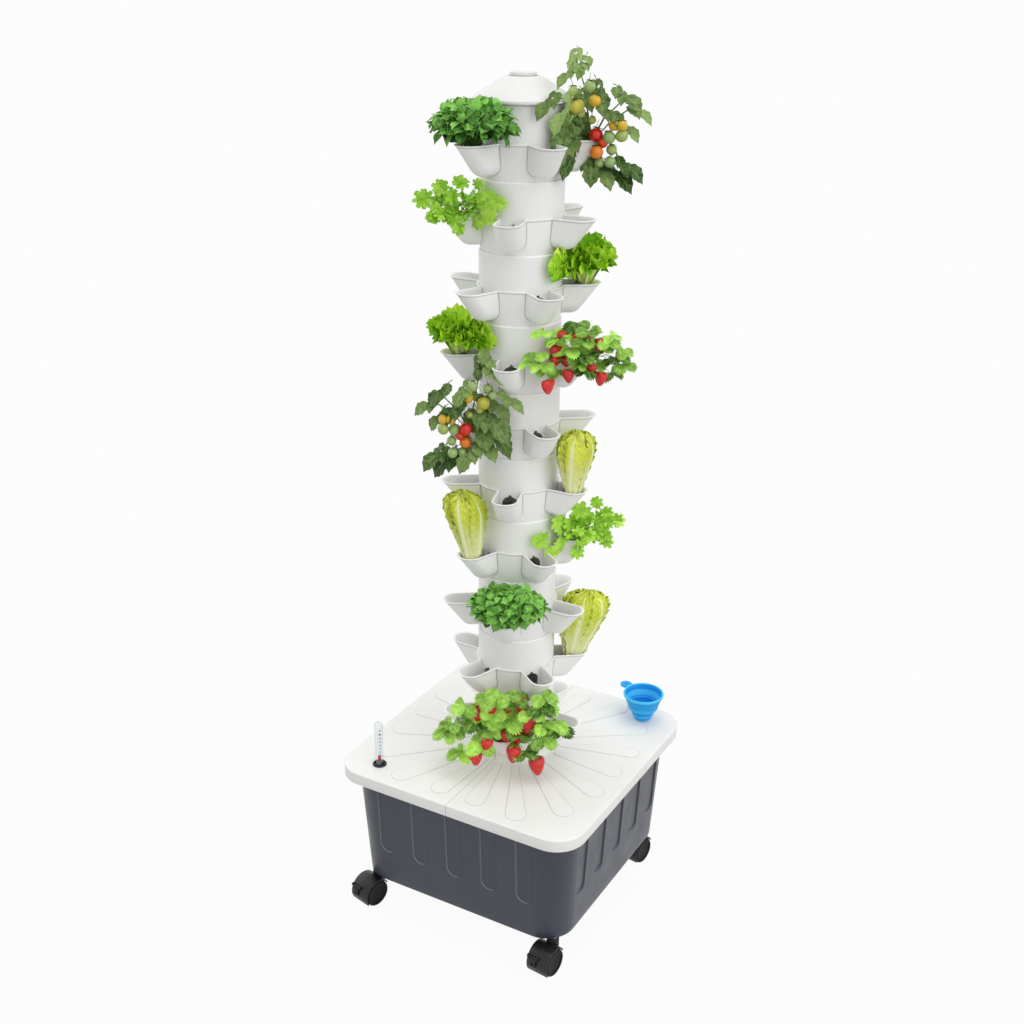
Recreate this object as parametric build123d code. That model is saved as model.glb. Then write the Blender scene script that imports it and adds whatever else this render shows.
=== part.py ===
from build123d import *
import os
from math import atan2, cos, degrees, radians, sin

# Hydroponic tower: a wheeled tank, a split lid with a neck, ten tiers of planting pods on round
# tubes, a pump with a riser pipe in the middle, a level gauge and a filling funnel.
# Millimetres, +Z up, origin on the floor under the tower's axis. X and Y run along the lid's edges.

# General clearances
SLIP = 0.2
RUN = 0.06
BODY_GAP = 0.3
OVERCUT = 1.0

# Casters: twin wheels under a hood
CASTER_HEIGHT = 62.0
CASTER_INSET = 24.0
CASTER_TRAIL = 22.0
WHEEL_RADIUS = 25.0
WHEEL_WIDTH = 17.0
WHEEL_DISH = 2.0
WHEEL_DISH_RADIUS = 19.0
HOOD_WALL = 2.5
HOOD_WEB = 8.0
HOOD_FRONT_ANGLE = -30.0
HOOD_REAR_ANGLE = 150.0
AXLE_RADIUS = 3.0
STEM_RADIUS = 5.0
STEM_COLLAR_RADIUS = 9.0
STEM_COLLAR_HEIGHT = 3.0
STEM_NUT_RADIUS = 7.0
STEM_DEPTH = 18.0
BOSS_RADIUS = 11.0
BRAKE_WIDTH = 16.0
BRAKE_SIDE = -9.0
BRAKE_THICK = 3.0
BRAKE_LENGTH = 17.0
BRAKE_PIN_RADIUS = 1.5
BRAKE_PIN_ANGLE = 32.0
CASTERS = {
    "front": (1, -1, -6.0),
    "left": (-1, -1, -13.0),
    "right": (1, 1, -9.0),
    "rear": (-1, 1, -20.0),
}
BRAKED = ("front", "left")

# Tank
TANK_HEIGHT = 233.5
TANK_DRAFT = 12.0
TANK_CORNER = 55.0
TANK_WALL = 3.0
TANK_FLANGE = 11.0
FLUTES = 5
FLUTE_EDGE = 7.0
FLUTE_WIDTH = 34.0
FLUTE_DEPTH = 2.4
FLUTE_FOOT = 68.0
FLUTE_HEAD = 12.0

# Lid halves
LID_SIZE = 480.0
LID_OVERHANG = 19.0
LID_CORNER = 55.0
LID_SKIRT = 22.0
LID_WALL = 2.5
LID_EDGE = 5.0
LID_SEAM = 0.4
LID_LIP = 8.0
PETALS = 18
PETAL_RISE = 1.2
PETAL_ROOT = 84.0
PETAL_ROOT_HALF = 6.0
PETAL_END_HALF = 18.0
PETAL_MARGIN = 23.0
PETAL_CORNER_SHARE = 1.054
PORT_INSET_X = 70.5
PORT_INSET_Y = 47.0
PORT_RADIUS = 10.0
NECK_HEIGHT = 17.0
NECK_WALL = 5.6
NECK_COVE = 9.0

# Tower tiers
TIERS = 10
TIER_PITCH = 112.0
PODS = 5
RING_HEIGHT = 56.4
RING_WALL = 2.0
TUBE_RADIUS = 67.6
TUBE_WALL = 2.2
SPIGOT = 12.0
SHOULDER = 2.5
SKIRT_DEPTH = 48.0
POD_REACH = 130.5
POD_HALF = 21.0
POD_DEPTH = 50.0
POD_WALL = 1.8
POD_SLOPE = 0.78
WINDOW_WIDTH = 28.0
WINDOW_TOP = 10.0
NOTCH_WIDTH = 5.0
NOTCH_RISE = 3.0

# Cap and distributor
CAP_RADIUS = 77.5
CAP_BRIM = 2.7
CAP_SKIRT = 12.0
CAP_DOME = ((66.5, 18.3), (52.5, 24.4), (40.2, 32.9), (29.4, 37.3))
CAP_WALL = 2.2
CAP_LIP = 5.5
CAP_LIP_INSET = 1.4
KNOB_RADIUS = 20.6
KNOB_HEIGHT = 7.0
TRAY_WALL = 2.0
TRAY_RIM = 5.0
DRIP_HOLES = 10
DRIP_RADIUS = 2.5
DRIP_CIRCLE = 52.0

# Pump and riser
PUMP_LENGTH = 66.0
PUMP_WIDTH = 48.0
PUMP_HEIGHT = 46.0
PUMP_CORNER = 8.0
PUMP_FOOT_RADIUS = 8.0
PUMP_FOOT_HEIGHT = 7.0
CHAMBER_RADIUS = 17.0
CHAMBER_DEPTH = 22.0
COVER_THICK = 9.0
COVER_WALL = 2.0
COVER_SLOTS = 5
COVER_SLOT_WIDTH = 3.0
IMPELLER_RADIUS = 14.5
IMPELLER_DEPTH = 16.0
IMPELLER_HUB = 5.0
IMPELLER_VANES = 6
VANE_THICK = 1.6
SHAFT_RADIUS = 1.5
OUTLET_RADIUS = 8.0
OUTLET_WALL = 1.8
OUTLET_HEIGHT = 16.0
RISER_RADIUS = 10.0
RISER_WALL = 1.6
RISER_SOCKET = 18.0
COUPLING_WALL = 3.0
COUPLING_STOP = 4.0
RISER_PROUD = 5.0

# Level gauge
GAUGE_RADIUS = 7.0
GAUGE_WALL = 1.0
GAUGE_HEIGHT = 87.0
GROMMET_RADIUS = 12.5
GROMMET_FLANGE = 3.0
GROMMET_DEPTH = 6.0
GUIDE_HEIGHT = 9.0
GUIDE_TIP_RADIUS = 3.2
ROD_RADIUS = 1.6
ROD_HEAD_RADIUS = 2.8
ROD_HEAD = 8.0
ROD_DROP = 90.0
FLOAT_RADIUS = 15.0
FLOAT_HEIGHT = 28.0

# Filling funnel, outer profile above the lid as radius and height
FUNNEL_STEPS = ((13.5, 0.0), (17.0, 2.5), (18.6, 7.0), (20.0, 9.0), (20.6, 14.0), (26.3, 22.5),
                (28.6, 25.0), (29.4, 32.0), (34.5, 46.0), (37.7, 55.0))
FUNNEL_WALL = 2.0
SPOUT_RADIUS = 8.5
SPOUT_LENGTH = 25.0
TAB_AZIMUTH = 161.0
TAB_REACH = 46.0
TAB_RADIUS = 11.0
TAB_HOLE = 3.5
TAB_THICK = 3.0

# Net cups and the plants in them
CUP_RADIUS = 16.5
CUP_FOOT_RADIUS = 11.5
CUP_DEPTH = 34.0
CUP_WALL = 1.4
CUP_LIP = 1.6
CUP_SLOTS = 6
CUP_SLOT_WIDTH = 4.0
CUP_SINK = 4.0
PLUG_DEPTH = 5.0
STALK_RADIUS = 7.0
CROWN_SIDES = 8
CROWN_CLEAR = 5.0

# Sizes and levels worked out from the sizes above
TANK_TOP = LID_SIZE - 2 * LID_OVERHANG
TANK_BOTTOM = TANK_TOP - 2 * TANK_DRAFT
CASTER_SPAN = TANK_BOTTOM / 2 - CASTER_INSET
FLUTE_PITCH = (TANK_TOP - 2 * TANK_CORNER - FLUTE_WIDTH - 2 * FLUTE_EDGE) / (FLUTES - 1)
PETAL_LONGEST = PETAL_CORNER_SHARE * LID_SIZE / 2
PORT_X = LID_SIZE / 2 - PORT_INSET_X
PORT_Y = LID_SIZE / 2 - PORT_INSET_Y
TANK_FLOOR = CASTER_HEIGHT
TANK_RIM = TANK_FLOOR + TANK_HEIGHT
LID_TOP = TANK_RIM + LID_WALL
TOWER_SEAT = LID_TOP + NECK_HEIGHT
SOCKET_RADIUS = TUBE_RADIUS - TUBE_WALL
SPIGOT_RADIUS = SOCKET_RADIUS - SLIP
RIM_RADIUS = TUBE_RADIUS + SLIP + RING_WALL
RING_DRAFT = (RIM_RADIUS - SPIGOT_RADIUS) / RING_HEIGHT
BORE_RADIUS = SOCKET_RADIUS - SHOULDER
TUBE_RISE = TIER_PITCH - RING_HEIGHT
CAP_SEAT = TOWER_SEAT + TIERS * TIER_PITCH

# Crowns of the plants, as (height over the pod's rim, radius, lean outwards)
HERB_CROWN = ((8.0, 8.0, 2.0), (18.0, 50.0, 5.0), (40.0, 60.0, 6.0), (60.0, 42.0, 8.0), (74.0, 20.0, 6.0))
TOMATO_CROWN = ((8.0, 8.0, 2.0), (18.0, 46.0, 14.0), (46.0, 64.0, 18.0), (64.0, 40.0, 16.0),
                (112.0, 34.0, 14.0), (132.0, 14.0, 8.0))
CORIANDER_CROWN = ((8.0, 8.0, 2.0), (16.0, 52.0, 8.0), (34.0, 66.0, 10.0), (50.0, 50.0, 8.0), (60.0, 24.0, 4.0))
LETTUCE_CROWN = ((8.0, 9.0, 2.0), (26.0, 36.0, 4.0), (54.0, 50.0, 6.0), (64.0, 40.0, 8.0), (78.0, 28.0, 8.0))
ROMAINE_CROWN = ((8.0, 9.0, 2.0), (30.0, 27.0, 3.0), (58.0, 34.0, 6.0), (88.0, 26.0, 8.0), (102.0, 10.0, 8.0))
STRAWBERRY_CROWN = ((8.0, 8.0, 2.0), (16.0, 60.0, 12.0), (34.0, 70.0, 14.0), (56.0, 42.0, 14.0), (84.0, 16.0, 12.0))

# Fruit hanging outside a pod, as (sideways, outwards, lowest point, radius)
TOMATO_FRUIT = ((-30.0, 46.0, -62.0, 15.0), (22.0, 48.0, -48.0, 15.0))
STRAWBERRY_FRUIT = ((-34.0, 42.0, -40.0, 10.0), (2.0, 46.0, -52.0, 10.0), (36.0, 40.0, -34.0, 10.0))

# Plants: crown, fruit, and the tier and pod azimuth of each one
PLANTS = {
    "herb_plants": (HERB_CROWN, (), ((1, -108), (8, -72))),
    "tomato_plants": (TOMATO_CROWN, TOMATO_FRUIT, ((1, 36), (5, -108))),
    "coriander_plants": (CORIANDER_CROWN, (), ((2, -144), (7, 36))),
    "lettuce_plants": (LETTUCE_CROWN, (), ((3, 36), (4, -144))),
    "romaine_plants": (ROMAINE_CROWN, (), ((6, 0), (7, -108), (9, 36))),
    "strawberry_plants": (STRAWBERRY_CROWN, STRAWBERRY_FRUIT, ((4, 0), (10, -72))),
}


def turned(*points):
    """Solid of revolution about Z from (radius, height) points."""
    outline = Polyline(*[(radius, 0, height) for radius, height in points], close=True)
    return revolve(make_face(outline), axis=Axis.Z)


def pipe(outer, inner, bottom, top):
    """Plain round tube standing on Z."""
    return turned((inner, bottom), (outer, bottom), (outer, top), (inner, top))


def rod(radius, bottom, top):
    """Plain round bar standing on Z."""
    return turned((0, bottom), (radius, bottom), (radius, top), (0, top))


def rounded_plate(size, corner, level):
    """Square sketch with rounded corners at a height."""
    return Pos(0, 0, level) * RectangleRounded(size, size, corner)


def spread(shape, count, start=0.0):
    """Copies of a shape evenly round Z."""
    return [Rot(0, 0, start + index * 360.0 / count) * shape for index in range(count)]


def ledge_level(tier):
    """Height of the ledge that the ring of a tier stands on."""
    return TOWER_SEAT + (TIERS - tier) * TIER_PITCH


def rim_level(tier):
    """Height of the pod rims of a tier."""
    return ledge_level(tier) + RING_HEIGHT


def tier_turn(tier):
    """Azimuth of the first pod of a tier: every other tier is turned by half a pod step."""
    return 0.0 if tier % 2 == 0 else 180.0 / PODS


def flute(half_width, foot, depth):
    """Cutter for one flute on the tank's front wall, parallel to the sloping face."""
    lean = degrees(atan2((TANK_TOP - TANK_BOTTOM) / 2, TANK_HEIGHT))
    length = TANK_HEIGHT - FLUTE_HEAD - foot
    outline = Pos(0, length / 2) * Rectangle(2 * half_width, length) + Circle(half_width)
    bar = extrude(outline, amount=depth + OVERCUT)
    face_foot = TANK_BOTTOM / 2 + foot * (TANK_TOP - TANK_BOTTOM) / 2 / TANK_HEIGHT
    return Pos(0, -face_foot + depth, TANK_FLOOR + foot) * Rot(90 + lean, 0, 0) * bar


def flute_set(half_width, foot, depth):
    """All the flutes of the tank."""
    one = flute(half_width, foot, depth)
    row = [Pos((index - (FLUTES - 1) / 2) * FLUTE_PITCH, 0, 0) * one for index in range(FLUTES)]
    return [Rot(0, 0, side * 90) * cutter for side in range(4) for cutter in row]


def tank():
    """Tapered open tank with fluted walls and a turned-out rim."""
    outer = loft([rounded_plate(TANK_BOTTOM, TANK_CORNER, TANK_FLOOR),
                  rounded_plate(TANK_TOP, TANK_CORNER, TANK_RIM)])
    hollow = loft([rounded_plate(TANK_BOTTOM - 2 * TANK_WALL, TANK_CORNER - TANK_WALL, TANK_FLOOR + TANK_WALL),
                   rounded_plate(TANK_TOP - 2 * TANK_WALL, TANK_CORNER - TANK_WALL, TANK_RIM + OVERCUT)])
    half = FLUTE_WIDTH / 2
    foot = FLUTE_FOOT + half
    hollow -= flute_set(half + TANK_WALL, foot, FLUTE_DEPTH + TANK_WALL)
    flange = extrude(rounded_plate(TANK_TOP + 2 * TANK_FLANGE, TANK_CORNER + TANK_FLANGE, TANK_RIM - TANK_WALL),
                     amount=TANK_WALL)
    body = outer - flute_set(half, foot, FLUTE_DEPTH) + flange - hollow
    stem_hole = rod(STEM_RADIUS + SLIP, TANK_FLOOR - OVERCUT, TANK_FLOOR + TANK_WALL + OVERCUT)
    for across, along, _ in CASTERS.values():
        body -= Pos(across * CASTER_SPAN, along * CASTER_SPAN, 0) * stem_hole
    return body


def petal(azimuth):
    """One raised petal on the lid, its round end held inside the lid's edge."""
    edge = LID_SIZE / 2 - PETAL_MARGIN
    reach = min(edge / max(abs(cos(radians(azimuth))), abs(sin(radians(azimuth)))), PETAL_LONGEST)
    root = Pos(PETAL_ROOT, 0) * Circle(PETAL_ROOT_HALF)
    end = Pos(reach - PETAL_END_HALF, 0) * Circle(PETAL_END_HALF)
    outline = make_hull(root.edges() + end.edges())
    return Rot(0, 0, azimuth) * Pos(0, 0, LID_TOP - LID_WALL / 2) * extrude(
        outline, amount=LID_WALL / 2 + PETAL_RISE)


def whole_lid():
    """Both lid halves as one shell, before the seam parts them."""
    skirt_bottom = LID_TOP - LID_SKIRT
    block = extrude(rounded_plate(LID_SIZE, LID_CORNER, skirt_bottom), amount=LID_SKIRT)
    block = fillet(block.faces().sort_by(Axis.Z)[-1].edges(), LID_EDGE)
    under = extrude(rounded_plate(LID_SIZE - 2 * LID_WALL, LID_CORNER - LID_WALL, skirt_bottom - OVERCUT),
                    amount=LID_SKIRT - LID_WALL + OVERCUT)
    lip_size = TANK_TOP - 2 * TANK_WALL - 2 * FLUTE_DEPTH - 4 * BODY_GAP
    lip = (extrude(rounded_plate(lip_size, TANK_CORNER - TANK_WALL, TANK_RIM - LID_LIP), amount=LID_LIP)
           - extrude(rounded_plate(lip_size - 2 * LID_WALL, TANK_CORNER - TANK_WALL - LID_WALL,
                                   TANK_RIM - LID_LIP - OVERCUT), amount=LID_LIP + OVERCUT))
    neck_radius = SOCKET_RADIUS + NECK_WALL
    cove_centre = (neck_radius + NECK_COVE, LID_TOP + NECK_COVE)
    cove_middle = (cove_centre[0] - NECK_COVE * sin(radians(45)), cove_centre[1] - NECK_COVE * cos(radians(45)))
    profile = [Line((BORE_RADIUS, 0, TANK_RIM), (BORE_RADIUS, 0, TOWER_SEAT)),
               Line((BORE_RADIUS, 0, TOWER_SEAT), (neck_radius, 0, TOWER_SEAT)),
               Line((neck_radius, 0, TOWER_SEAT), (neck_radius, 0, cove_centre[1])),
               ThreePointArc((neck_radius, 0, cove_centre[1]), (cove_middle[0], 0, cove_middle[1]),
                             (cove_centre[0], 0, LID_TOP)),
               Line((cove_centre[0], 0, LID_TOP), (cove_centre[0], 0, TANK_RIM)),
               Line((cove_centre[0], 0, TANK_RIM), (BORE_RADIUS, 0, TANK_RIM))]
    neck = revolve(make_face(profile), axis=Axis.Z)
    shell = block - under + lip + neck + [petal(index * 360.0 / PETALS) for index in range(PETALS)]
    shell -= rod(BORE_RADIUS, TANK_RIM - OVERCUT, TOWER_SEAT + OVERCUT)
    shell -= rod(SOCKET_RADIUS, TOWER_SEAT - SPIGOT, TOWER_SEAT + OVERCUT)
    port = rod(PORT_RADIUS, TANK_RIM - OVERCUT, LID_TOP + OVERCUT)
    shell -= [Pos(-PORT_X, -PORT_Y, 0) * port, Pos(PORT_X, PORT_Y, 0) * port]
    return shell


def lid_half(shell, side):
    """One half of the lid: side is -1 for the left half and +1 for the right half."""
    width = LID_SIZE - LID_SEAM / 2
    keep = Pos(side * (LID_SEAM / 2 + width / 2), 0, LID_TOP) * Box(width, 2 * LID_SIZE, 4 * LID_SKIRT)
    return shell & keep


def scoop(levels, start):
    """Pod form lofted through U-shaped outlines given as (height, tip radius, half width)."""
    sections = []
    for height, tip, half in levels:
        nose = tip - half
        sections.append(make_face([
            Line((start, -half, height), (nose, -half, height)),
            ThreePointArc((nose, -half, height), (tip, 0, height), (nose, half, height)),
            Line((nose, half, height), (start, half, height)),
            Line((start, half, height), (start, -half, height))]))
    return loft(sections, ruled=True)


def pod_levels(wall):
    """Outlines of a pod from rim to bottom, drawn in by a wall."""
    belly = POD_DEPTH * 0.74
    turn = POD_DEPTH * 0.92
    bottom = POD_DEPTH - wall
    tip_belly = POD_REACH - POD_SLOPE * belly
    tip_turn = tip_belly - POD_HALF * 0.42
    tip_bottom = tip_belly - POD_HALF * 0.95
    return ((RING_HEIGHT - belly, tip_belly - wall, POD_HALF - wall),
            (RING_HEIGHT - turn + wall * 0.6, tip_turn - wall, POD_HALF * 0.78 - wall),
            (RING_HEIGHT - bottom, tip_bottom - wall, POD_HALF * 0.5 - wall))


def pod_ring():
    """Ring of five pods; its ledge level is at Z = 0 and its first pod points along +X."""
    start = BORE_RADIUS * 0.8
    outer_pod = scoop(((RING_HEIGHT, POD_REACH, POD_HALF),) + pod_levels(0.0), start)
    lift = OVERCUT
    inner_pod = scoop(((RING_HEIGHT + lift, POD_REACH - POD_WALL + lift * POD_SLOPE, POD_HALF - POD_WALL),)
                      + pod_levels(POD_WALL), start)
    wall = turned((0, -SPIGOT), (SPIGOT_RADIUS, -SPIGOT), (SPIGOT_RADIUS, 0), (RIM_RADIUS, RING_HEIGHT),
                  (0, RING_HEIGHT))
    throat = turned((0, -SPIGOT - OVERCUT), (SPIGOT_RADIUS - RING_WALL, -SPIGOT - OVERCUT),
                    (SPIGOT_RADIUS - RING_WALL, 0),
                    (RIM_RADIUS - RING_WALL + RING_DRAFT * OVERCUT, RING_HEIGHT + OVERCUT),
                    (0, RING_HEIGHT + OVERCUT))
    return wall + spread(outer_pod, PODS) - throat - spread(inner_pod, PODS)


def tower_tube():
    """Tube with a socket on top and a tapered skirt below Z = 0, the rim level of its ring."""
    skirt_radius = TUBE_RADIUS - RING_DRAFT * SKIRT_DEPTH
    shelf = TUBE_RISE - SPIGOT
    body = turned((skirt_radius - TUBE_WALL, -SKIRT_DEPTH), (skirt_radius, -SKIRT_DEPTH), (TUBE_RADIUS, 0),
                  (TUBE_RADIUS, TUBE_RISE), (SOCKET_RADIUS, TUBE_RISE), (SOCKET_RADIUS, shelf),
                  (BORE_RADIUS, shelf), (BORE_RADIUS, shelf - SHOULDER),
                  (SOCKET_RADIUS, shelf - 2 * SHOULDER), (SOCKET_RADIUS, 0))
    half = WINDOW_WIDTH / 2
    crown = -WINDOW_TOP - half
    arch = (Circle(half) + Pos(0, -(SKIRT_DEPTH + crown) / 2 - OVERCUT / 2)
            * Rectangle(WINDOW_WIDTH, SKIRT_DEPTH + crown + OVERCUT)
            + Pos(0, half) * Rectangle(NOTCH_WIDTH, 2 * NOTCH_RISE))
    cutter = Pos(0, 0, crown) * Rot(90, 0, 90) * extrude(arch, amount=2 * TUBE_RADIUS)
    return body - spread(cutter, PODS)


def bell_height(bell, radius):
    """Height of the cap's skin at a radius, read between the points of its bell."""
    for (outer, low), (inner, high) in zip(bell, bell[1:]):
        if radius >= inner:
            return low + (high - low) * (outer - radius) / (outer - inner)
    return bell[-1][1]


def top_cap():
    """Bell-shaped cap with a knob; its seat on the top tube is at Z = 0."""
    lip_radius = SOCKET_RADIUS - BODY_GAP
    shoulder = CAP_BRIM + CAP_SKIRT
    bell = ((CAP_RADIUS, shoulder),) + CAP_DOME
    crown_radius, crown = CAP_DOME[-1]
    inside = CAP_RADIUS - CAP_WALL
    profile = [Spline(*[(radius, 0, height) for radius, height in bell]),
               Polyline((crown_radius, 0, crown), (0, 0, crown), (0, 0, crown - CAP_WALL),
                        (crown_radius - CAP_WALL, 0, crown - CAP_WALL)),
               Spline(*[(radius - CAP_WALL, 0, height - CAP_WALL) for radius, height in bell]),
               Polyline((inside, 0, shoulder - CAP_WALL), (inside, 0, CAP_BRIM), (CAP_RADIUS, 0, CAP_BRIM),
                        (CAP_RADIUS, 0, shoulder))]
    skin = revolve(make_face(profile), axis=Axis.Z)
    rest = bell_height(bell, lip_radius + CAP_LIP_INSET) - CAP_WALL / 2
    lip = turned((lip_radius - CAP_WALL, -CAP_LIP), (lip_radius, -CAP_LIP), (lip_radius, BODY_GAP),
                 (TUBE_RADIUS - SLIP, BODY_GAP), (TUBE_RADIUS - SLIP, CAP_BRIM), (lip_radius, CAP_BRIM + CAP_WALL),
                 (lip_radius, rest), (lip_radius - CAP_WALL, rest))
    button = rod(KNOB_RADIUS, crown - CAP_WALL / 2, crown + KNOB_HEIGHT)
    button = chamfer(button.faces().sort_by(Axis.Z)[-1].edges(), KNOB_HEIGHT / 4)
    return skin + lip + button


def distributor():
    """Drip tray on the shelf of the top tube; its underside is at Z = 0."""
    radius = SOCKET_RADIUS - SLIP
    hub = RISER_RADIUS + SLIP
    tray = turned((hub, 0), (radius, 0), (radius, TRAY_RIM), (radius - TRAY_WALL, TRAY_RIM),
                  (radius - TRAY_WALL, TRAY_WALL), (hub + TRAY_WALL, TRAY_WALL),
                  (hub + TRAY_WALL, TRAY_RIM / 2), (hub, TRAY_RIM / 2))
    hole = Pos(DRIP_CIRCLE, 0, 0) * rod(DRIP_RADIUS, -OVERCUT, TRAY_WALL + OVERCUT)
    return tray - spread(hole, DRIP_HOLES)


def pump_levels():
    """Heights of the pump's underside, its axis and its outlet."""
    under = TANK_FLOOR + TANK_WALL + PUMP_FOOT_HEIGHT
    return under, under + PUMP_HEIGHT / 2, under + PUMP_HEIGHT + OUTLET_HEIGHT


def along_front(shape):
    """Turn a shape that stands on Z so that it points towards -Y, on the pump's axis."""
    return Pos(0, 0, pump_levels()[1]) * Rot(90, 0, 0) * shape


def pump_body():
    """Pump housing with its impeller chamber at the front and the outlet over the riser."""
    under, _, outlet = pump_levels()
    front = CHAMBER_DEPTH / 2
    core = Pos(0, PUMP_LENGTH / 2 - front, under + PUMP_HEIGHT / 2) * Box(PUMP_WIDTH, PUMP_LENGTH, PUMP_HEIGHT)
    core = fillet(core.edges().filter_by(Axis.Y), PUMP_CORNER)
    stub = rod(OUTLET_RADIUS, under + PUMP_HEIGHT / 2, outlet)
    chamber = along_front(rod(CHAMBER_RADIUS, -CHAMBER_DEPTH / 2, front + OVERCUT))
    bore = rod(OUTLET_RADIUS - OUTLET_WALL, under + PUMP_HEIGHT / 2, outlet + OVERCUT)
    seat = along_front(rod(SHAFT_RADIUS, -CHAMBER_DEPTH / 2 - CHAMBER_RADIUS / 2, 0))
    gland = Pos(0, PUMP_LENGTH - front, under + PUMP_HEIGHT / 2) * Rot(-90, 0, 0) * rod(IMPELLER_HUB, 0, COVER_THICK)
    return core + stub + gland - chamber - bore - seat


def pump_cover():
    """Slotted strainer cover over the front of the chamber."""
    front = CHAMBER_DEPTH / 2
    plate = Pos(0, -front - COVER_THICK / 2, pump_levels()[1]) * Box(PUMP_WIDTH, COVER_THICK, PUMP_HEIGHT)
    plate = fillet(plate.edges().filter_by(Axis.Y), PUMP_CORNER)
    hollow = along_front(rod(CHAMBER_RADIUS, front - OVERCUT, front + COVER_THICK - COVER_WALL))
    boss = along_front(rod(2 * SHAFT_RADIUS, front + COVER_WALL, front + COVER_THICK - COVER_WALL))
    seat = along_front(rod(SHAFT_RADIUS, front, front + COVER_THICK - COVER_WALL))
    pitch = 2 * CHAMBER_RADIUS / (COVER_SLOTS + 1)
    cover = plate - hollow + boss - seat
    for index in range(COVER_SLOTS):
        across = (index - (COVER_SLOTS - 1) / 2) * pitch
        length = 2 * (CHAMBER_RADIUS ** 2 - across ** 2) ** 0.5 - COVER_SLOT_WIDTH
        slot = Pos(across, -front - COVER_THICK, pump_levels()[1]) * Box(
            COVER_SLOT_WIDTH, 2 * COVER_WALL, length)
        if abs(across) > 2 * SHAFT_RADIUS + COVER_SLOT_WIDTH / 2:
            cover -= slot
    return cover


def pump_impeller():
    """Vaned impeller that turns on the shaft."""
    middle = IMPELLER_DEPTH / 2
    hub = pipe(IMPELLER_HUB, SHAFT_RADIUS + RUN, -middle, middle)
    reach = IMPELLER_RADIUS - IMPELLER_HUB + OVERCUT
    vane = Pos(IMPELLER_RADIUS - reach / 2, 0, 0) * Box(reach, VANE_THICK, IMPELLER_DEPTH - 2 * VANE_THICK)
    return along_front(hub + spread(vane, IMPELLER_VANES))


def pump_shaft():
    """Fixed shaft between the chamber's back wall and the cover."""
    front = CHAMBER_DEPTH / 2
    return along_front(rod(SHAFT_RADIUS - RUN / 2, -CHAMBER_DEPTH / 2 - CHAMBER_RADIUS / 2 + SLIP,
                           front + COVER_THICK - COVER_WALL - SLIP))


def pump_feet():
    """Four rubber suction feet under the pump."""
    floor = TANK_FLOOR + TANK_WALL
    foot = turned((0, floor + 2.0), (PUMP_FOOT_RADIUS - 2.0, floor), (PUMP_FOOT_RADIUS, floor),
                  (PUMP_FOOT_RADIUS / 2, floor + PUMP_FOOT_HEIGHT), (0, floor + PUMP_FOOT_HEIGHT))
    across = PUMP_WIDTH / 2 - PUMP_FOOT_RADIUS
    near = -CHAMBER_DEPTH / 2 + PUMP_FOOT_RADIUS
    far = PUMP_LENGTH - CHAMBER_DEPTH / 2 - PUMP_FOOT_RADIUS
    return Compound(children=[Pos(x, y, 0) * foot for x in (-across, across) for y in (near, far)])


def riser_foot():
    """Height at which the riser pipe stands in its coupling."""
    return pump_levels()[2] + COUPLING_STOP


def riser_coupling():
    """Sleeve from the pump's outlet to the riser pipe."""
    _, _, outlet = pump_levels()
    bottom = outlet - OUTLET_HEIGHT + SLIP
    foot = riser_foot()
    outer = RISER_RADIUS + SLIP + COUPLING_WALL
    return turned((OUTLET_RADIUS + SLIP, bottom), (outer, bottom), (outer, foot + RISER_SOCKET),
                  (RISER_RADIUS + SLIP, foot + RISER_SOCKET), (RISER_RADIUS + SLIP, foot),
                  (OUTLET_RADIUS - OUTLET_WALL, foot), (OUTLET_RADIUS - OUTLET_WALL, outlet),
                  (OUTLET_RADIUS + SLIP, outlet))


def riser_pipe():
    """Pipe from the coupling through the tower to just above the drip tray."""
    top = CAP_SEAT - SPIGOT + RISER_PROUD
    return pipe(RISER_RADIUS, RISER_RADIUS - RISER_WALL, riser_foot(), top)


def at_gauge(shape):
    """Place a shape that stands on the lid at the gauge's port."""
    return Pos(-PORT_X, -PORT_Y, LID_TOP) * shape


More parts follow.
